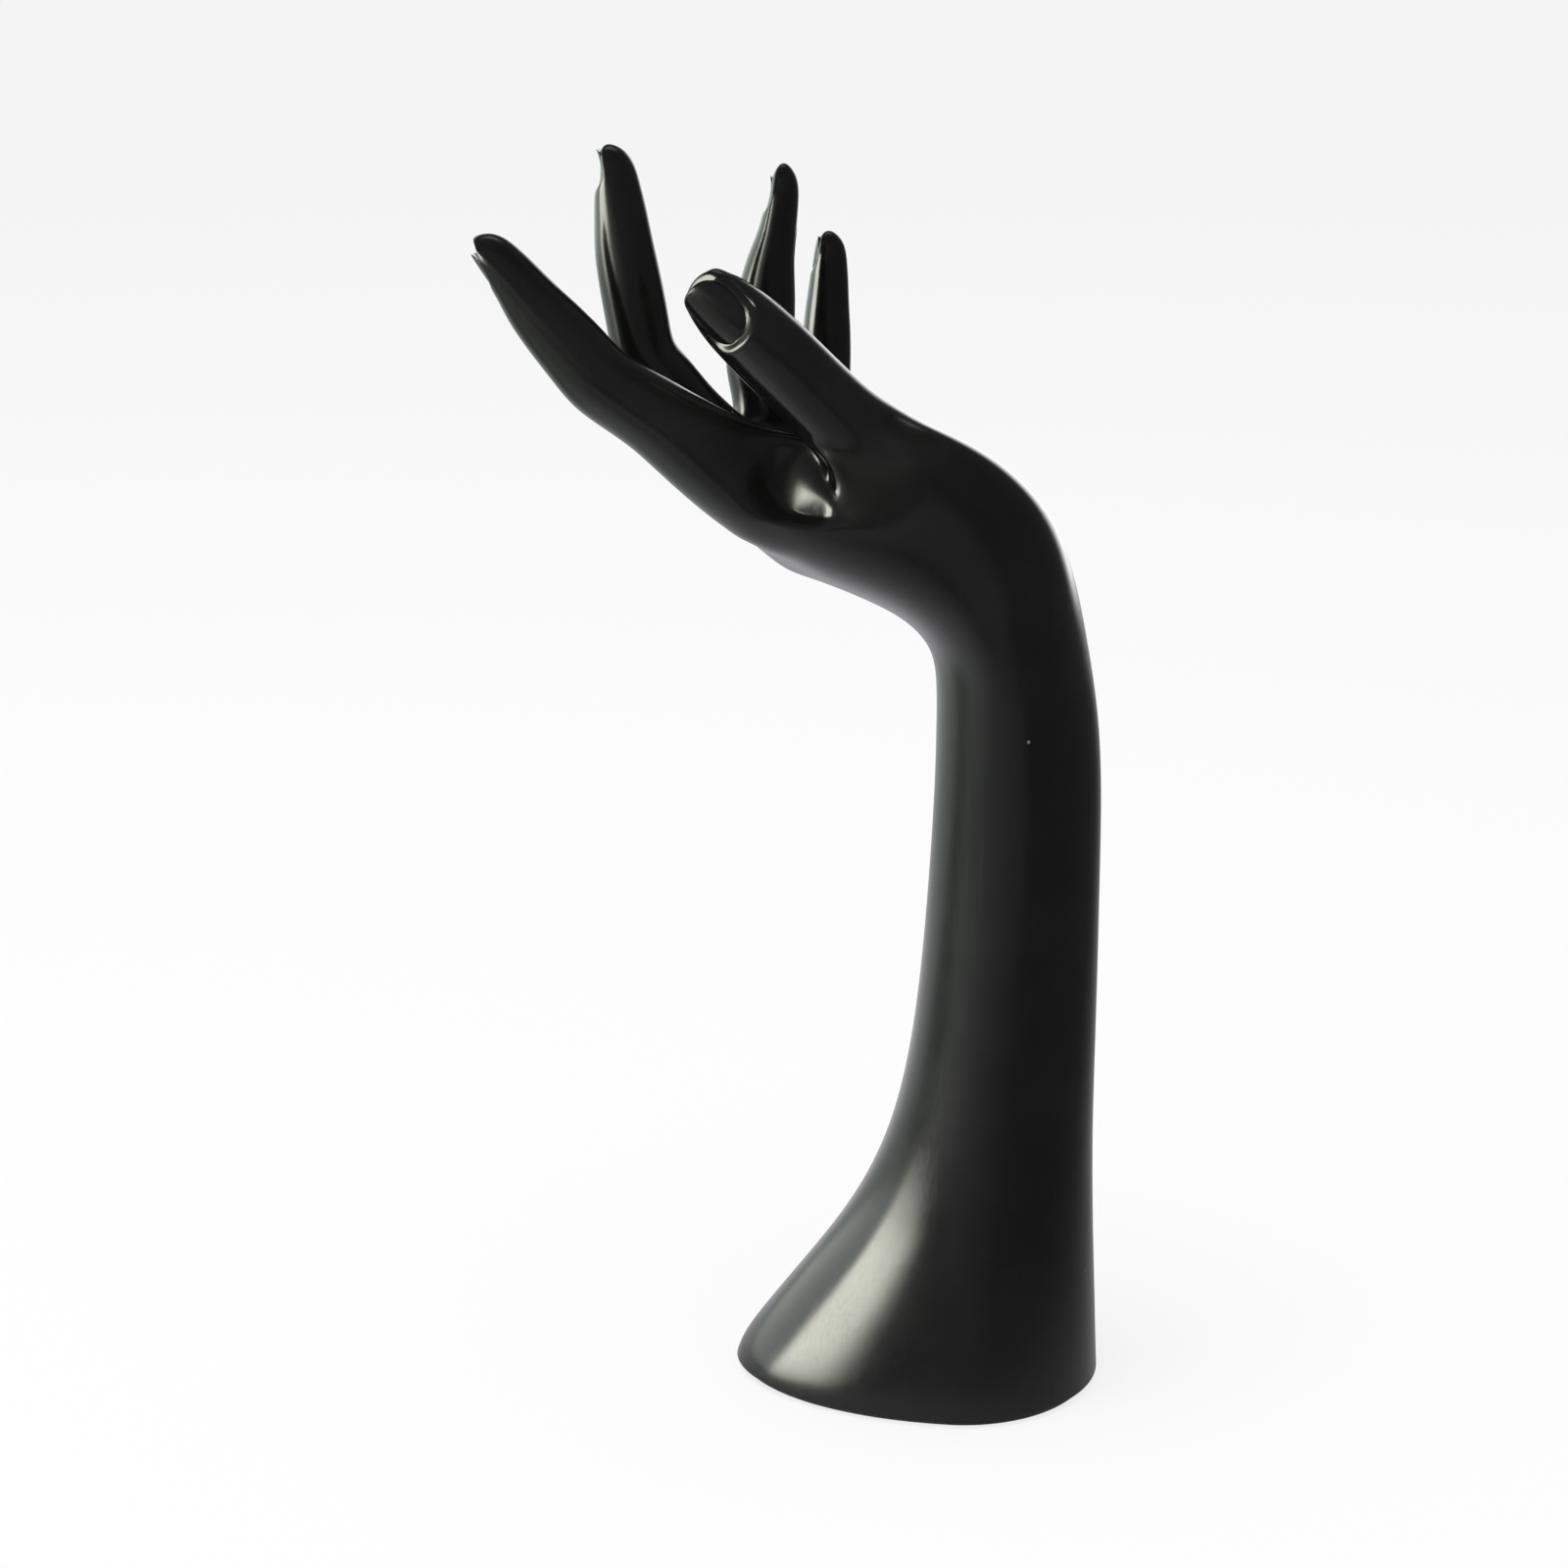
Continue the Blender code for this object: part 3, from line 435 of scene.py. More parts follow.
# %% [markdown]
# ## Easing the webs
#
# Where a digit branches off, the columns crowd together and leave a pinched fold. A sculptor would stroke
# it smooth with a thumb. The stroke here moves each point towards the average of its neighbours, again and
# again, inside a soft ball round each web.

# %% Stroke the webs smooth
def ease(x, start, end):
    """Nought before start, one after end, and 3 t^2 - 2 t^3 between."""
    t = np.clip((x - start) / (end - start), 0, 1)
    return t * t * (3 - 2 * t)


def ball(points, centre, radius):
    """A weight that is one at the centre and eases to nothing at the radius."""
    return ease(1 - np.linalg.norm(points - np.array(centre), axis=1) / radius, 0, 1)


def stroke(points, weight, rounds):
    """Each round moves a point towards its neighbours' average, by its weight."""
    count = np.bincount(edges.ravel(), minlength=len(points))[:, None]
    for _ in range(rounds):
        total = np.stack([
            np.bincount(edges[:, 0], points[edges[:, 1], axis], len(points))
            + np.bincount(edges[:, 1], points[edges[:, 0], axis], len(points))
            for axis in range(3)
        ], axis=1)
        points = points + weight[:, None] * (total / count - points)
    return points


def stroke_ball(points, centre, radius, fullness, rounds, strength=0.6):
    """Strokes one ball of skin. A fullness above one widens the part that gets the full strength."""
    return stroke(points, np.minimum(1, fullness * ball(points, centre, radius)) * strength, rounds)


WEB_RADIUS = 9.0
softness = np.zeros(len(points))
finger_rings = [parts[1] for parts in fingers.values()]
for a, b in zip(finger_rings, finger_rings[1:]):
    softness = np.maximum(softness, ball(points, (a[0][4] + b[0][0]) / 2, WEB_RADIUS))
points = stroke(points, softness * 0.6, 40)
points = stroke_ball(points, (-18.5, -28.5, 228.0), 8.5, 1.8, 120)
print("points eased:", int((softness > 0.01).sum()))

# %% [markdown]
# ## The hollow beside the thumb
#
# Between the thumb and the index finger the skin sinks into a smooth bowl, and the heel of the thumb ends
# there in a firm rim. A sculptor would draw the rim first and then press the bowl in. Here the rim is a few
# drawn points with the corners rounded, and a signed distance tells which side of it a place lies on.

# %% Draw the rim
# X and Z of the rim, from the thumb down and round to the index finger.
RIM = np.array([
    (-28, 238.4), (-24, 235.4), (-20.8, 232.4), (-18.8, 229.4), (-17.7, 226), (-17.4, 222.8),
    (-18.2, 220), (-20.6, 218.3), (-25, 218), (-30.6, 219.2), (-37.2, 222.2),
])


def soft_least(a, b, width):
    """The smaller of two heights, with the corner between them rounded over the width."""
    return (a + b - np.sqrt((a - b) ** 2 + width**2)) / 2


def rounded(line, rounds=4):
    """A line with its corners cut: each round puts points a quarter in from both ends of each side."""
    for _ in range(rounds):
        a, b = line[:-1], line[1:]
        inner = np.stack([0.75 * a + 0.25 * b, 0.25 * a + 0.75 * b], axis=1).reshape(-1, 2)
        line = np.concatenate([line[:1], inner, line[-1:]])
    return line


def inside_by(places, line):
    """Signed distance to a line: positive to the right of someone who walks along it."""
    way = np.diff(line, axis=0)
    offset = places[:, None] - line[:-1]
    t = np.clip((offset * way).sum(-1) / (way * way).sum(-1), 0, 1)
    gap = np.linalg.norm(offset - t[..., None] * way, axis=-1)
    nearest = gap.argmin(axis=1)
    rows = np.arange(len(places))
    cross = way[nearest, 0] * offset[rows, nearest, 1] - way[nearest, 1] * offset[rows, nearest, 0]
    return -np.sign(cross) * gap[rows, nearest]


print("rim length in mm:", round(float(np.linalg.norm(np.diff(RIM, axis=0), axis=1).sum()), 1))

# %% [markdown]
# ## Pressing the bowl in
#
# Inside the rim the skin is laid on a bowl that climbs towards its lower right corner. Outside it the skin
# is held to a firm level, and over about a millimetre the two blend. Skin under the thumb's edge, which
# faces away from the front, is left alone, or it would be pulled through the rim. Pressing and stroking take
# turns, and two gentle pushes keep the hand's lower outline smooth.

# %% Press the bowl
# The press works round a level line that runs left from here, and fades out away from it.
PRESS_END = (-21.0, 225.0)
PRESS_LENGTH = 11.0
PRESS_FADE = (7.0, 13.5)
FRONT_HALF = -19.0
# Depths are along Y, where more negative is further to the front.
BOWL_DEEPEST = -25.8
BOWL_CORNER = np.array([-15.5, 219.5])
BOWL_REACH = 15.0
BOWL_RISE = 10.0
BOWL_TILT, BOWL_LEVEL = 0.10, 230.0
RIM_LEVEL = -32.9
RIM_TILT, RIM_RIGHT = 0.12, -17.5
LEFT_PART = (25.0, 35.0)


def put_back(points):
    """Gives the skin's mesh the moved points."""
    skin.vertices.foreach_set("co", (points * MM).ravel())
    skin.update()


def front_facing(points):
    """How squarely the skin faces the front at each point, from minus one to one."""
    put_back(points)
    return -read(skin.vertex_normals, "vector", 3)[:, 1]


def press_hollow(points):
    """Sets Y near the rim: deepest - rise x u^1.7 inside, where u = 1 - distance from the corner / reach.

    The distance upward counts half, and its square is added, so the bowl is an upright egg. The blend over
    the rim is wider on its left part.
    """
    moved = points.copy()
    x, z = points[:, 0] - PRESS_END[0], points[:, 2] - PRESS_END[1]
    away = np.hypot(x - np.clip(x, -PRESS_LENGTH, 0), z)
    chosen = np.flatnonzero((points[:, 1] < FRONT_HALF) & (away < PRESS_FADE[1]))
    x, y, z = points[chosen].T
    d = inside_by(np.column_stack([x, z]), rounded(RIM))
    rise = z - BOWL_CORNER[1]
    r = np.hypot(x - BOWL_CORNER[0], 0.5 * rise + 0.03 * rise**2 * (rise > 0))
    bowl = BOWL_DEEPEST - BOWL_RISE * np.clip(1 - r / BOWL_REACH, 0, 1) ** 1.7 + BOWL_TILT * (z - BOWL_LEVEL)
    bowl = y + (bowl - y) * (1 - ease(r, 8.0, 24.0))
    level = RIM_LEVEL - RIM_TILT * (x - RIM_RIGHT)
    right = ease(x + 0.35 * np.clip(z - 226, 0, None), -24, -19)
    near = (1 - ease(-d, 1.0, 8.0)) * (1 - ease(z, 229, 238)) * right
    hidden = 1 - ease(front_facing(points)[chosen], 0.0, 0.35)
    firm = y + (soft_least(y, level, 0.6) - y) * near
    left = ease(-x, *LEFT_PART)
    share = ease(d, -0.5, 0.9) * (1 - left) + ease(d, -1.5, 4.0) * left
    new = bowl * share + firm * (1 - share)
    new = y + (new - y) * (1 - hidden * ease(-d, -1.5, 0.0))
    moved[chosen, 1] = y + (new - y) * (1 - ease(away[chosen], *PRESS_FADE))
    return moved


for _ in range(3):
    points = stroke_ball(press_hollow(points), (-19.5, -31.0, 228.5), 8.5, 1.5, 30)
points = press_hollow(points)
points = stroke_ball(points, (-20.0, -30.0, 226.0), 16.0, 1.0, 3, strength=0.4)
points = stroke_ball(points, (-17.8, -29.5, 230.0), 5.0, 2.0, 14)
points = stroke_ball(points, (-8.0, -36.0, 228.0), 12.0, 1.6, 90)
# Pushes on the outline below the index finger's root: centre, radius and move.
PUSHES = [((-35.0, -27.0, 213.5), 10.0, (-0.3, 0, -0.9)), ((-31.0, -16.0, 208.5), 16.0, (0.4, 0, 1.2))]
for centre, radius, move in PUSHES:
    points = points + ball(points, centre, radius)[:, None] * np.array(move)
print("front of the skin after pressing:", points[:, 1].min().round(2))

# %% [markdown]
# ## The form of a nail
#
# A cast nail is a thin arched plate that comes out from under a fold of skin and ends free, with a notch
# between it and the fingertip. The plate is one formula in the digit's own directions: an arc across, and a
# height that changes along it. A second one tells how far a place is from the plate's outline.

# %% Nail formulas
# Where the plate starts and ends behind the tip, half width, arc radius, the height of its back over the
# digit's middle at the fold, half way and at the free edge, how far it is turned to the side, and the slope
# of the skin at the fold.
NAILS = {
    "thumb": (17.4, 2.2, 5.8, 7.4, (6.9, 6.3, 4.9), 29, 0.9),
    "index": (12.6, 3.8, 4.3, 7.2, (4.2, 3.55, 2.8), 0, 0.5),
    "middle": (11.5, 2.5, 4.6, 7.4, (3.7, 2.2, 2.4), 0, 0.6),
    "ring": (13, 5.1, 3.9, 7.5, (2.8, 2.3, 2.75), 0, 0.5),
    "little": (10.5, 2.6, 3.3, 5.1, (3.8, 3.3, 2.4), 0, 0.5),
}
OUTLINE_POWER = 2.6
# The tip of each digit and its directions: along, aside and out of its back.
digit_axes = {"thumb": (THUMB_TIP, *thumb_axes)}
for name, plan in FINGERS.items():
    along = heading(plan[1][2], plan[2][2])
    side = unit(ACROSS - along[1] * along)
    digit_axes[name] = (fingers[name][2], along, side, np.cross(along, side))


def nail_frame(name):
    """The tip and the three directions of a nail: along the digit, across it, and out of its back."""
    tip, along, side, back = digit_axes[name]
    turn = math.radians(NAILS[name][5])
    out = back * math.cos(turn) + side * math.sin(turn)
    return tip, along, np.cross(out, along), out


def nail_height(name, share, across):
    """Height of the plate's back: a parabola through three heights, less the drop of the arc across."""
    radius, (fold, middle, edge) = NAILS[name][3:5]
    s = np.clip(share, -0.3, 1.2)
    along = fold + (4 * middle - 3 * fold - edge) * s + (2 * fold + 2 * edge - 4 * middle) * s * s
    across = np.clip(np.abs(across), 0, 0.97 * radius)
    return along - (radius - np.sqrt(radius**2 - across**2))


def outside(name, share, across):
    """How far outside the plate a place is, in mm: (g - 1) / |slope of g| for the superellipse g."""
    start, end, half = NAILS[name][:3]
    u, t = np.abs(across) / half + 1e-6, np.abs(2 * share - 1) + 1e-6
    g = (u**OUTLINE_POWER + t**OUTLINE_POWER) ** (1 / OUTLINE_POWER)
    gu = (u / g) ** (OUTLINE_POWER - 1) / half
    gt = (t / g) ** (OUTLINE_POWER - 1) * 2 / (start - end)
    return (g - 1) / np.hypot(gu, gt)


print("nail lengths in mm:", {name: round(plan[0] - plan[1], 1) for name, plan in NAILS.items()})

# %% [markdown]
# ## Carving the beds
#
# The bed is the plate's formula used as a limit, so the skin is cut down to meet the plate all round and
# rises from it at a growing slope. Under the free edge a slanting cut leaves the notch. A boolean would
# leave thin splinters here.

# %% Carve the nail beds
# The deepest place of each notch, behind the tip and above the middle.
NOTCHES = {"thumb": (4.4, 3.2), "index": (6.2, 1.2)}
BED_MARGIN = 0.5
BED_CURVE = 0.12


def nail_bed(points, name):
    """Lowers the skin to: plate - margin under it, and plate + slope x gap + curve x gap^2 outside it."""
    tip, along, across, out = nail_frame(name)
    start, end, *_, slope = NAILS[name]
    local = points - tip
    a, c, h = local @ along, local @ across, local @ out
    share = (a + start) / (start - end)
    gap = np.clip(outside(name, share, c), -1, 12)
    margin = BED_MARGIN * (1 - ease(gap, -0.6, 0.1))
    beyond = np.clip(gap, 0, None)
    limit = nail_height(name, share, c) + slope * beyond + BED_CURVE * beyond**2 - margin
    near = ease(h, -0.5, 1.0) * (h < 10) * ease(a, -start - 9, -start - 6) * (np.abs(c) < 12) * (a < 3)
    lowered = np.minimum(h, soft_least(h, limit, 0.3) + 0.15 * ease(gap, 0, 1))
    if name in NOTCHES:
        back, deep = NOTCHES[name]
        bevel = deep - np.where(a > -back, 0.56, 1.3) * (a + back)
        lowered = soft_least(lowered, bevel, 0.5)
    return points + (near * np.minimum(0, lowered - h))[:, None] * out


before = points
for name in NAILS:
    points = nail_bed(points, name)
    tip, along, *_ = nail_frame(name)
    points = stroke_ball(points, tip - 6 * along, 13.0, 1.0, 2, strength=0.35)
print("deepest cut in mm:", round(float(np.linalg.norm(points - before, axis=1).max()), 2))

# %% [markdown]
# ## Laying the plates
#
# Each plate is a closed shell. Its grid runs from the middle of the top out to the rim and back under it,
# so the rim is round, and a fan of triangles closes each end. The felt pad is the same kind of grid, so one
# helper makes the faces of both.

# %% Make the plates
NAIL_THICK = 0.7


def closed_grid(rows, spokes, turned=False):
    """Faces between rings of points, and a fan at each end to one of the two points after the rings."""
    k = np.arange((rows - 1) * spokes).reshape(-1, spokes)
    after = np.roll(k, -1, axis=1)
    quads = np.stack([k, after, after + spokes, k + spokes], axis=-1).reshape(-1, 4)
    first = np.arange(spokes)
    last = first + (rows - 1) * spokes
    pole = np.full(spokes, rows * spokes)
    fans = np.concatenate([np.stack([pole, np.roll(first, -1), first], axis=1),
                           np.stack([pole + 1, last, np.roll(last, -1)], axis=1)])
    if turned:
        quads, fans = (np.roll(block[:, ::-1], 1, axis=1) for block in (quads, fans))
    return quads.tolist() + fans.tolist()


def nail_plate(name, rings=14, spokes=64):
    """A closed plate. At share r of the way from the middle out it is NAIL_THICK x (1 - r^6)^0.5 thick."""
    tip, along, across, out = nail_frame(name)
    start, end, half = NAILS[name][:3]
    r = np.linspace(0, 1, rings)[1:, None] ** 0.75
    spin = 2 * np.pi * np.arange(spokes) / spokes
    cos, sin = np.cos(spin), np.sin(spin)
    reach = (np.abs(cos) ** OUTLINE_POWER + np.abs(sin) ** OUTLINE_POWER) ** (-1 / OUTLINE_POWER)
    share, c = (r * reach * sin + 1) / 2, r * reach * cos * half
    thick = NAIL_THICK * np.sqrt(np.clip(1 - (r + 0 * c) ** 6, 0, 1))
    top = nail_height(name, share, c) - (NAIL_THICK - thick) * 0.25
    place = tip + (share * (start - end) - start)[..., None] * along + c[..., None] * across
    above, below = place + top[..., None] * out, place + (top - thick)[..., None] * out
    grid = np.concatenate([above, below[:-1][::-1]])
    centre = tip - (start + end) / 2 * along + nail_height(name, 0.5, 0.0) * out
    ends = [centre, centre - NAIL_THICK * out]
    return np.concatenate([grid.reshape(-1, 3), ends]), closed_grid(len(grid), spokes)


plates = [nail_plate(name) for name in NAILS]
print("points in each plate:", len(plates[0][0]))

# %% [markdown]
# ## Making the pieces
#
# The carved points go back into the mesh, which becomes the visible hand. It stands for the casting's solid,
# rides on the only body and belongs to the resin's slot. The nails are cast in one with the hand, but plates
# are easier to shape and check, so they stay a second piece.

# %% Make the hand and the nails
put_back(points)
skin.shade_smooth()
hand = bpy.data.objects.new("cast_hand", skin)
bpy.context.scene.collection.objects.link(hand)
nail_faces = []
for number, (block, faces) in enumerate(plates):
    nail_faces += [[k + number * len(block) for k in face] for face in faces]
nails = mesh_object("cast_nails", np.concatenate([block for block, _ in plates]), nail_faces)
nails.data.shade_smooth()
for piece in (hand, nails):
    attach(piece, "root")
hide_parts("hand_casting")
print("faces: hand", len(hand.data.polygons), "nails", len(nails.data.polygons))

# %% [markdown]
# ## The felt pad
#
# Felt is cut with a die from a sheet and glued under the foot. Its outline is the foot's egg, drawn in a
# little, so it stays hidden. The cut edge is slightly soft, and the pressed faces are never quite flat.

# %% Make the felt pad
PAD_MIDDLE_X = 11.0
PAD_REACH = (53.9, 31.9, 34.4)
PAD_THICK = 1.5
PAD_SPOKES = 144
PAD_SOFT = 0.015
WAVE_DEPTH = 0.03


def felt_pad():
    """Rings from the middle of the top round to the middle of the underside, their faces and the area.

    The egg is two half ellipses with one width, and the edge is half a turn of small radius. The faces dip
    as sin(x / 5 mm) x cos(y / 4 mm).
    """
    back, front, half = PAD_REACH
    share = np.linspace(0.04, 1 - PAD_SOFT, 25)
    soft = np.radians(np.linspace(90, -90, 9))
    scale = np.concatenate([share, 1 - PAD_SOFT + PAD_SOFT * np.cos(soft), share[::-1]])
    height = np.concatenate([0 * share + 1.0, 0.5 + 0.5 * np.sin(soft), 0 * share])
    turn = 2 * np.pi * np.arange(PAD_SPOKES) / PAD_SPOKES
    x = scale[:, None] * (np.cos(turn) * np.where(np.cos(turn) < 0, back, front))
    y = scale[:, None] * half * np.sin(turn)
    wave = np.clip(np.sin(x / 5.0) * np.cos(y / 4.0), 0, 1) * WAVE_DEPTH
    z = PAD_THICK * height[:, None] + wave * np.where(height[:, None] > 0.5, -1, 1)
    rings = np.stack([x + PAD_MIDDLE_X, y, z], axis=-1)
    ends = [(PAD_MIDDLE_X, 0, PAD_THICK), (PAD_MIDDLE_X, 0, 0)]
    faces = closed_grid(len(scale), PAD_SPOKES, turned=True)
    return np.concatenate([rings.reshape(-1, 3), ends]), faces, np.pi * half * (back + front) / 2


pad_points, pad_faces, pad_area = felt_pad()
pad = mesh_object("felt_under_the_foot", pad_points, pad_faces)
pad.data.shade_smooth()
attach(pad, "root")
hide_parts("felt_pad")
print("felt area in square mm:", round(pad_area, 1))

# %% [markdown]
# ## Effects that several finishes share
#
# Wear has a few kinds that come back on every material: cloudy smudges, fine parallel rubbing, and small
# spots. Each is one node group with named inputs, so a finish can ask for its size and strength. All read
# the object's own coordinates in metres, so they stay put on the piece.

# %% Node groups
def node(tree, kind, inputs=None, **settings):
    """Adds a shader node and returns its outputs. An input may be a value or another node's output."""
    made = tree.nodes.new("ShaderNode" + kind)
    for name, value in settings.items():
        setattr(made, name, value)
    for name, value in (inputs or {}).items():
        if isinstance(value, bpy.types.NodeSocket):
            tree.links.new(value, made.inputs[name])
        else:
            made.inputs[name].default_value = value
    return made.outputs


def maths(tree, operation, first, second):
    """The result of one operation on two numbers."""
    return node(tree, "Math", {0: first, 1: second}, operation=operation)[0]


def pattern(place, kind, **numbers):
    """A noise or cell pattern, read at a place."""
    return node(place.id_data, "Tex" + kind, {"Vector": place, **numbers})


def ramp(value, start, end, low=0.0, high=1.0):
    """A number that goes from low to high as the value goes from start to end."""
    ends = {"From Min": start, "From Max": end, "To Min": low, "To Max": high}
    return node(value.id_data, "MapRange", {"Value": value, **ends})[0]


def effect(name, *numbers):
    """An empty node group with a place, the named numbers as inputs, and one mask as output."""
    group = bpy.data.node_groups.new(name, "ShaderNodeTree")
    group.interface.new_socket("Place", in_out="INPUT", socket_type="NodeSocketVector")
    for label in numbers:
        group.interface.new_socket(label, in_out="INPUT", socket_type="NodeSocketFloat")
    group.interface.new_socket("Mask", in_out="OUTPUT", socket_type="NodeSocketFloat")
    return group, group.nodes.new("NodeGroupInput").outputs, group.nodes.new("NodeGroupOutput").inputs[0]


smudges, given, result = effect("smudges", "Size", "Share")
scale = maths(smudges, "DIVIDE", 1.0, given["Size"])
cloud = pattern(given["Place"], "Noise", Scale=scale, Detail=5.0, Roughness=0.62, Distortion=0.5)
smudges.links.new(ramp(cloud[0], maths(smudges, "SUBTRACT", 0.78, given["Share"]), 0.78), result)

rubbing, given, result = effect("rubbing", "Fineness", "Length")
across = node(rubbing, "VectorMath", {0: given["Place"], 3: given["Fineness"]}, operation="SCALE")
lengthwise = node(rubbing, "CombineXYZ", {"X": 1.0, "Y": 1.0, "Z": given["Length"]})
drawn = node(rubbing, "VectorMath", {0: across[0], 1: lengthwise[0]}, operation="MULTIPLY")
lines = pattern(drawn[0], "Noise", Scale=1.0, Detail=3.0, Roughness=0.6)
rubbing.links.new(ramp(lines[0], 0.42, 0.72), result)

spots, given, result = effect("spots", "Apart", "Size", "Rarity")
scale = maths(spots, "DIVIDE", 1.0, given["Apart"])
cells = pattern(given["Place"], "Voronoi", Scale=scale)
disc = ramp(cells["Distance"], given["Size"], maths(spots, "MULTIPLY", given["Size"], 0.6))
chosen = maths(spots, "GREATER_THAN", cells["Color"], given["Rarity"])
spots.links.new(maths(spots, "MULTIPLY", disc, chosen), result)
print("effects:", [group.name for group in bpy.data.node_groups])

# %% [markdown]
# ## The finishes
#
# The resin is near black right through and was rubbed to a satin gloss, so its colour hardly varies. What
# varies is how sharply it mirrors: a little less where it has been handled, and along the rubbing marks. A
# few tiny chips show the dull body under the polished skin.

# %% Helpers for finishes, and the resin
def new_material(name):
    """A material with nodes, and its tree."""
    made = bpy.data.materials.new(name)
    made.use_nodes = True
    return made, made.node_tree


def finish(name, metal=0.0, sheen=0.0):
    """A material, its shader and the object's own coordinates."""
    made, tree = new_material(name)
    shader = tree.nodes["Principled BSDF"]
    shader.inputs["Metallic"].default_value = metal
    shader.inputs["Sheen Weight"].default_value = sheen
    return made, shader, node(tree, "TexCoord")["Object"]


def mask_of(group, place, **numbers):
    """One use of a shared effect."""
    return node(place.id_data, "Group", {"Place": place, **numbers}, node_tree=group)["Mask"]


def spread(mask, low, high):
    """A number that goes from low to high as the mask goes from nought to one."""
    return ramp(mask, 0.0, 1.0, low, high)


def total(first, *others):
    """The sum of all the numbers given."""
    for number in others:
        first = maths(first.id_data, "ADD", first, number)
    return first


def blend_colours(mask, first, second):
    """First where the mask is nought and second where it is one. Colours are red, green and blue."""
    first, second = ((*c, 1) if isinstance(c, tuple) else c for c in (first, second))
    return node(mask.id_data, "Mix", {0: mask, 6: first, 7: second}, data_type="RGBA")[2]


def dress(shader, colour, roughness, height, depth, strength=1.0):
    """Links colour and roughness, and turns a height mask into a bump of that depth in metres."""
    tree = shader.id_data
    bump = node(tree, "Bump", {"Height": height, "Distance": depth, "Strength": strength})[0]
    for label, value in (("Base Color", colour), ("Roughness", roughness), ("Normal", bump)):
        tree.links.new(value, shader.inputs[label])


resin, shader, place = finish("black_resin")
handled = mask_of(smudges, place, Size=0.035, Share=0.42)
rubbed = mask_of(rubbing, place, Fineness=1500.0, Length=0.05)
chips = mask_of(spots, place, Apart=0.021, Size=0.024, Rarity=0.62)
dark = blend_colours(handled, (0.0052, 0.0052, 0.0050), (0.0092, 0.0092, 0.0086))
colour = blend_colours(chips, dark, (0.16, 0.16, 0.15))
rough = total(spread(handled, 0.15, 0.22), spread(rubbed, 0.0, 0.06), spread(chips, 0.0, 0.4))
waves = pattern(place, "Noise", Scale=60.0, Detail=1.0)[0]
surface = total(waves, spread(rubbed, 0.0, 0.02), spread(chips, 0.0, -0.5))
dress(shader, colour, rough, surface, 0.0002, 0.5)
print("resin nodes:", len(resin.node_tree.nodes))

# %% [markdown]
# ## The other finishes
#
# The pieces under the foot are seldom seen, but they have their own wear: spangled zinc on the plate, the
# grain of the sand mould and a little rust on the iron, turning marks on the screws, and fibres and lint on
# the felt. One pattern in each gives the grain, and a shared effect breaks it up.

# %% Zinc, iron, steel and felt
zinc, shader, place = finish("zinc_plate", metal=1.0)
spangle = pattern(place, "Voronoi", Scale=180.0)["Distance"]
dull = mask_of(smudges, place, Size=0.02, Share=0.45)
colour = blend_colours(spangle, (0.52, 0.53, 0.54), (0.66, 0.67, 0.68))
colour = blend_colours(dull, colour, (0.42, 0.43, 0.44))
dress(shader, colour, total(spread(spangle, 0.26, 0.38), spread(dull, 0.0, 0.18)), spangle, 0.00005)

iron, shader, place = finish("cast_iron", metal=0.6)
sand = pattern(place, "Noise", Scale=900.0, Detail=4.0)[0]
rust = mask_of(smudges, place, Size=0.012, Share=0.3)
colour = blend_colours(sand, (0.055, 0.055, 0.058), (0.15, 0.15, 0.155))
colour = blend_colours(rust, colour, (0.16, 0.085, 0.05))
dress(shader, colour, spread(sand, 0.5, 0.78), sand, 0.0004)

steel, shader, place = finish("screw_steel", metal=1.0)
turned = mask_of(rubbing, place, Fineness=5000.0, Length=1.0)
worn = mask_of(smudges, place, Size=0.003, Share=0.4)
colour = blend_colours(worn, (0.66, 0.66, 0.67), (0.48, 0.48, 0.49))
dress(shader, colour, total(spread(turned, 0.2, 0.3), spread(worn, 0.0, 0.15)), turned, 0.00002)

felt, shader, place = finish("black_felt", sheen=0.35)
fibres = pattern(place, "Noise", Scale=2600.0, Detail=4.0, Distortion=1.5)[0]
lint = mask_of(spots, place, Apart=0.006, Size=0.05, Rarity=0.8)
colour = blend_colours(fibres, (0.006, 0.006, 0.0065), (0.034, 0.034, 0.036))
colour = blend_colours(lint, colour, (0.2, 0.2, 0.19))
dress(shader, colour, spread(fibres, 0.88, 1.0), fibres, 0.0004)

for piece, paint in ((hand, resin), (nails, resin), (pad, felt)):
    piece.data.materials.append(paint)
by_node = {"base_plate": zinc, "ballast_weight": iron}
for name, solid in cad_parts.items():
    if name not in ("hand_casting", "felt_pad"):
        for kept in solid.material_slots:
            kept.material = by_node.get(name, steel)
print("finishes:", [paint.name for paint in (resin, zinc, iron, steel, felt)])

# %% [markdown]
# ## The floor
#
# The object stands on white. The floor is a wide pale plane, and most of its brightness towards the camera
# is a plain glow, so that it meets the white background without an edge. The rest is paint that the lamp
# lights, which keeps a faint shadow under the foot.

# %% Floor
def seen_directly(tree):
    """One for camera, mirror and see-through rays, and zero for the soft light that bounces about."""
    ray = node(tree, "LightPath")
    seen = maths(tree, "MAXIMUM", ray["Is Camera Ray"], ray["Is Glossy Ray"])
    return maths(tree, "MAXIMUM", seen, ray["Is Transmission Ray"])


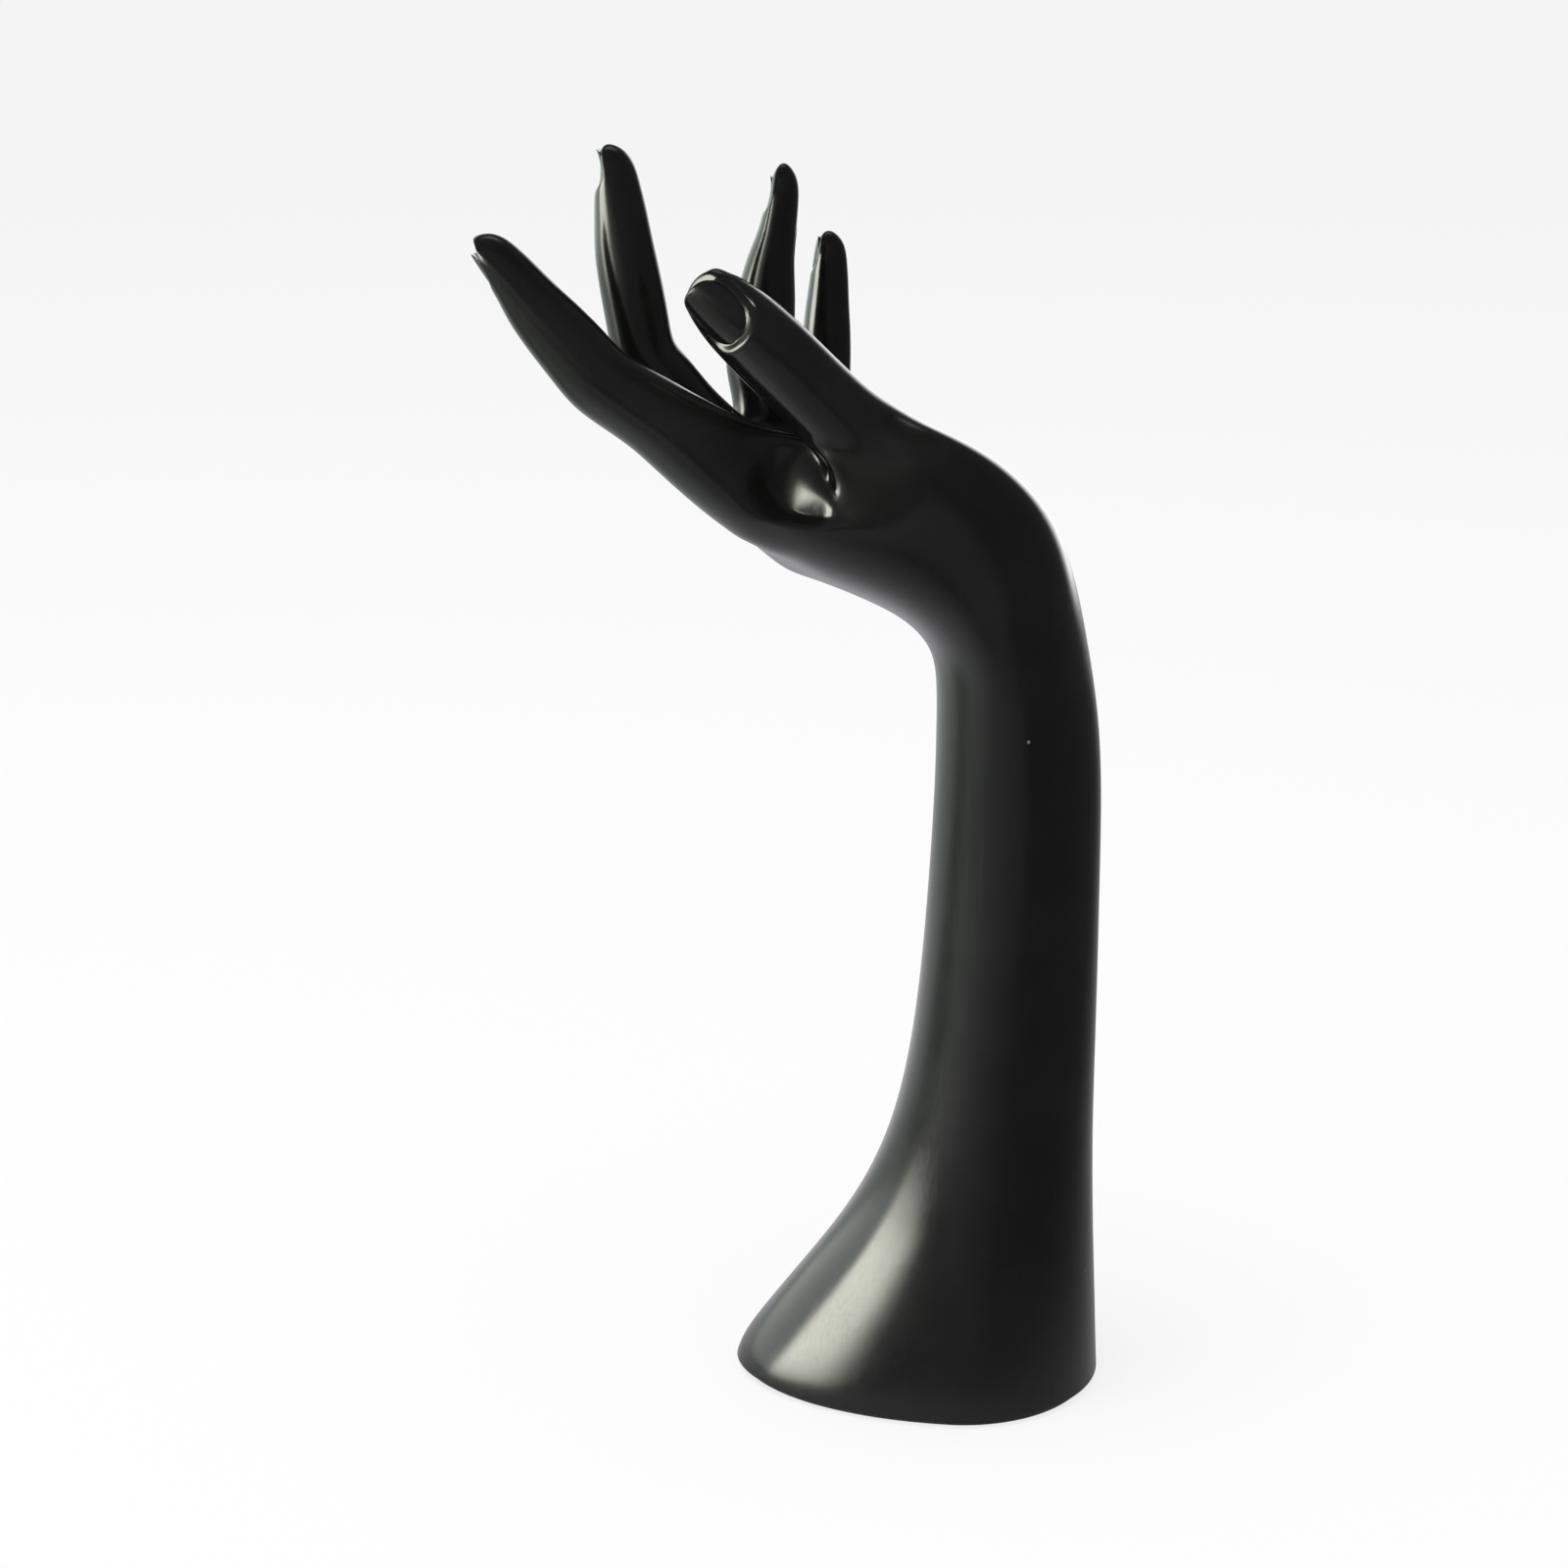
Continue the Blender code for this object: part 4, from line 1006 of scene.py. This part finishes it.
FLOOR_GLOW = 0.8
floor = mesh_object("floor", np.array([(-6, -6, 0), (6, -6, 0), (6, 6, 0), (-6, 6, 0)]) / MM, [(0, 1, 2, 3)])
paint, tree = new_material("white_floor")
matte = tree.nodes["Principled BSDF"]
matte.inputs["Base Color"].default_value = (0.85, 0.85, 0.85, 1)
matte.inputs["Roughness"].default_value = 0.9
matte.inputs["Specular IOR Level"].default_value = 0.0
part = maths(tree, "MULTIPLY", seen_directly(tree), FLOOR_GLOW)
blend = node(tree, "MixShader", {"Fac": part, 1: matte.outputs["BSDF"], 2: node(tree, "Emission")[0]})
tree.links.new(blend[0], tree.nodes["Material Output"].inputs["Surface"])
floor.data.materials.append(paint)
print("floor:", tuple(round(d, 1) for d in floor.dimensions))

# %% [markdown]
# ## The light on the cards
#
# Glossy black shows little colour of its own, so what it mirrors is what it looks like. A photographer
# shapes that with cards: black ones on one side to make the body go dark, a grey one for a soft sheen, and
# one low bright window for the long highlight on the foot. Here they are painted by formula with soft edges,
# on a round wall and on the floor. Nought degrees is in front of the object, and -90 is on its left.

# %% Formulas of the cards
WHITE = np.array([1.0, 1.0, 1.0])
LILAC = np.array([1.0, 1.0, 1.05])
COOL = np.array([1.0, 1.0, 1.04])
WARM = np.array([0.99, 1.0, 0.88])
OLIVE = np.array([1.0, 1.0, 0.84])
TEAL = np.array([0.93, 1.02, 0.95])


def band(x, start, end):
    """Nought, then one, then nought again, with a smooth step at each end."""
    return ease(x, *start) * (1 - ease(x, *end))


def wall_light(azimuth, height):
    """What the wall sends back, in red, green and blue: a dim ground plus strength x colour x shape."""
    ahead = ease(azimuth, -58, -40)
    slant = azimuth - 22.5 * ease(height, 0.0, 0.08)
    window = ease(azimuth, -93, -85) * (1 - ease(slant, -82, -60)) * (1 - ease(height, 0.447, 0.487))
    cards = [
        (0.12, LILAC, ahead * (1 - ease(azimuth, -55, 85)) * ease(height, 0.22, 0.36)),
        (0.32, LILAC, ahead * (1 - ease(azimuth, -38, -18)) * band(height, (0.03, 0.07), (0.26, 0.40))),
        (2.07, TEAL, (1 - ease(azimuth, -92, -86)) * band(height, (-0.05, 0.14), (0.7, 1.0))),
        (1.17, OLIVE, band(azimuth, (-90, -80), (-70, 4)) * band(height, (0.18, 0.26), (0.28, 0.58))),
        (14.5, WARM, ease(height, -0.13, 0.347) * window),
        (2.16, WHITE, ease(azimuth, 146, 162) * (1 - ease(height, 0.6, 1.0))),
    ]
    return 0.08 * WHITE + sum(strength * colour * shape for strength, colour, shape in cards)


def floor_light(x, y):
    """What the floor sends back: a pool of grey round the object, a darker strip, and black on the right."""
    lit = 1 - ease(x - 0.38 * y, -0.275, 0.223)
    pool = 0.34 + 0.64 * (1 - ease(np.hypot(x, y), 0.06, 0.575))
    left = 0.55 * ease(-x + 0.79 * y, -0.27, 1.5)
    ahead = ease(x - 0.4 * y, -0.086, 0.014) * (1 - ease(x + y, -0.34, -0.18)) * ease(-y, 0.3, 0.42)
    strip = (1 - ease(np.abs(y - 0.05), 0.03, 0.17)) * band(-x, (0.2, 0.32), (0.6, 0.8))
    green = ease(-x, 0.16, 0.34)
    light = (0.075 + (pool + left - 0.075) * lit + 0.18 * ahead) * (1 - 0.45 * strip)
    return light * (TEAL * green + COOL * (1 - green))


print("light of the left wall at 0.3 m:", wall_light(-90.0, 0.3).round(2))

# %% [markdown]
# ## Hanging the cards
#
# Each card is a fine grid whose glow is stored point by point. It is seen only in reflections, so it
# neither lights the object nor shades the floor, and the camera looks through it.

# %% Cards
WALL_RADIUS = 1.25
WALL_GRID = (241, 49)
FLOOR_HALF = 1.3
FLOOR_GRID = 105
FLOOR_CARD_HEIGHT = 0.0004
ROOF_HEIGHT = 1.9
ROOF_SCALE = 1.3


def grid(first, second):
    """Every pair of two lists of values, as two columns."""
    return (block.reshape(-1, 1) for block in np.meshgrid(first, second, indexing="ij"))


def painted_card(name, points, columns, colours):
    """A card on a grid that glows only for rays from a mirror-like surface."""
    corner = np.arange(len(points) - columns)
    corner = corner[(corner + 1) % columns > 0]
    faces = np.stack([corner, corner + columns, corner + columns + 1, corner + 1], axis=1)
    made = mesh_object(name, points / MM, faces)
    stored = made.data.color_attributes.new("glow", "FLOAT_COLOR", "POINT")
    stored.data.foreach_set("color", np.column_stack([colours, np.ones(len(colours))]).ravel())
    paint, tree = new_material(name)
    tree.nodes.remove(tree.nodes["Principled BSDF"])
    glow = node(tree, "Emission", {"Color": node(tree, "Attribute", attribute_name="glow")["Color"]})
    tree.links.new(glow[0], tree.nodes["Material Output"].inputs["Surface"])
    made.data.materials.append(paint)
    made.visible_camera = made.visible_diffuse = made.visible_shadow = made.visible_transmission = False
    print(name, "points:", len(points), "brightest:", round(float(colours.max()), 2))


azimuth, height = grid(np.linspace(-180, 180, WALL_GRID[0]), np.linspace(0.0, ROOF_HEIGHT, WALL_GRID[1]))
turn = np.radians(azimuth)
wall = np.column_stack([WALL_RADIUS * np.sin(turn), -WALL_RADIUS * np.cos(turn), height])
painted_card("wall_of_cards", wall, WALL_GRID[1], wall_light(azimuth, height))
spread_out = np.linspace(-FLOOR_HALF, FLOOR_HALF, FLOOR_GRID)
x, y = grid(spread_out, spread_out)
level = np.column_stack([x, y, 0 * x + FLOOR_CARD_HEIGHT])
painted_card("floor_of_cards", level, FLOOR_GRID, floor_light(x, y))
roof = np.column_stack([ROOF_SCALE * x, ROOF_SCALE * y, 0 * x + ROOF_HEIGHT])
roof_light = 0.04 + 1.2 * ease(y, 0.3, 0.9) * (1 - ease(x, 0.0, 0.6))
painted_card("roof_of_cards", roof, FLOOR_GRID, roof_light * WHITE)

# %% [markdown]
# ## The lamps
#
# A soft lamp overhead and a dim white world light every matt surface to about the brightness of its own
# colour. The lamp isn't mirrored, because the picture shows no highlight from above.

# %% Lamp and world
lamp_data = bpy.data.lights.new("overhead", "AREA")
lamp_data.shape = "DISK"
lamp_data.size = 1.4
lamp_data.energy = 24
overhead = aim("overhead", lamp_data, Vector((-0.35, -0.35, 1.8)), Vector((0, 0, 0.15)))
overhead.visible_glossy = False

world = bpy.data.worlds.new("studio")
bpy.context.scene.world = world
world.use_nodes = True
tree = world.node_tree
background = tree.nodes["Background"].inputs
background["Color"].default_value = (1, 1, 1, 1)
tree.links.new(spread(seen_directly(tree), 0.55, 1.0), background["Strength"])
print("lamp power in W:", lamp_data.energy)
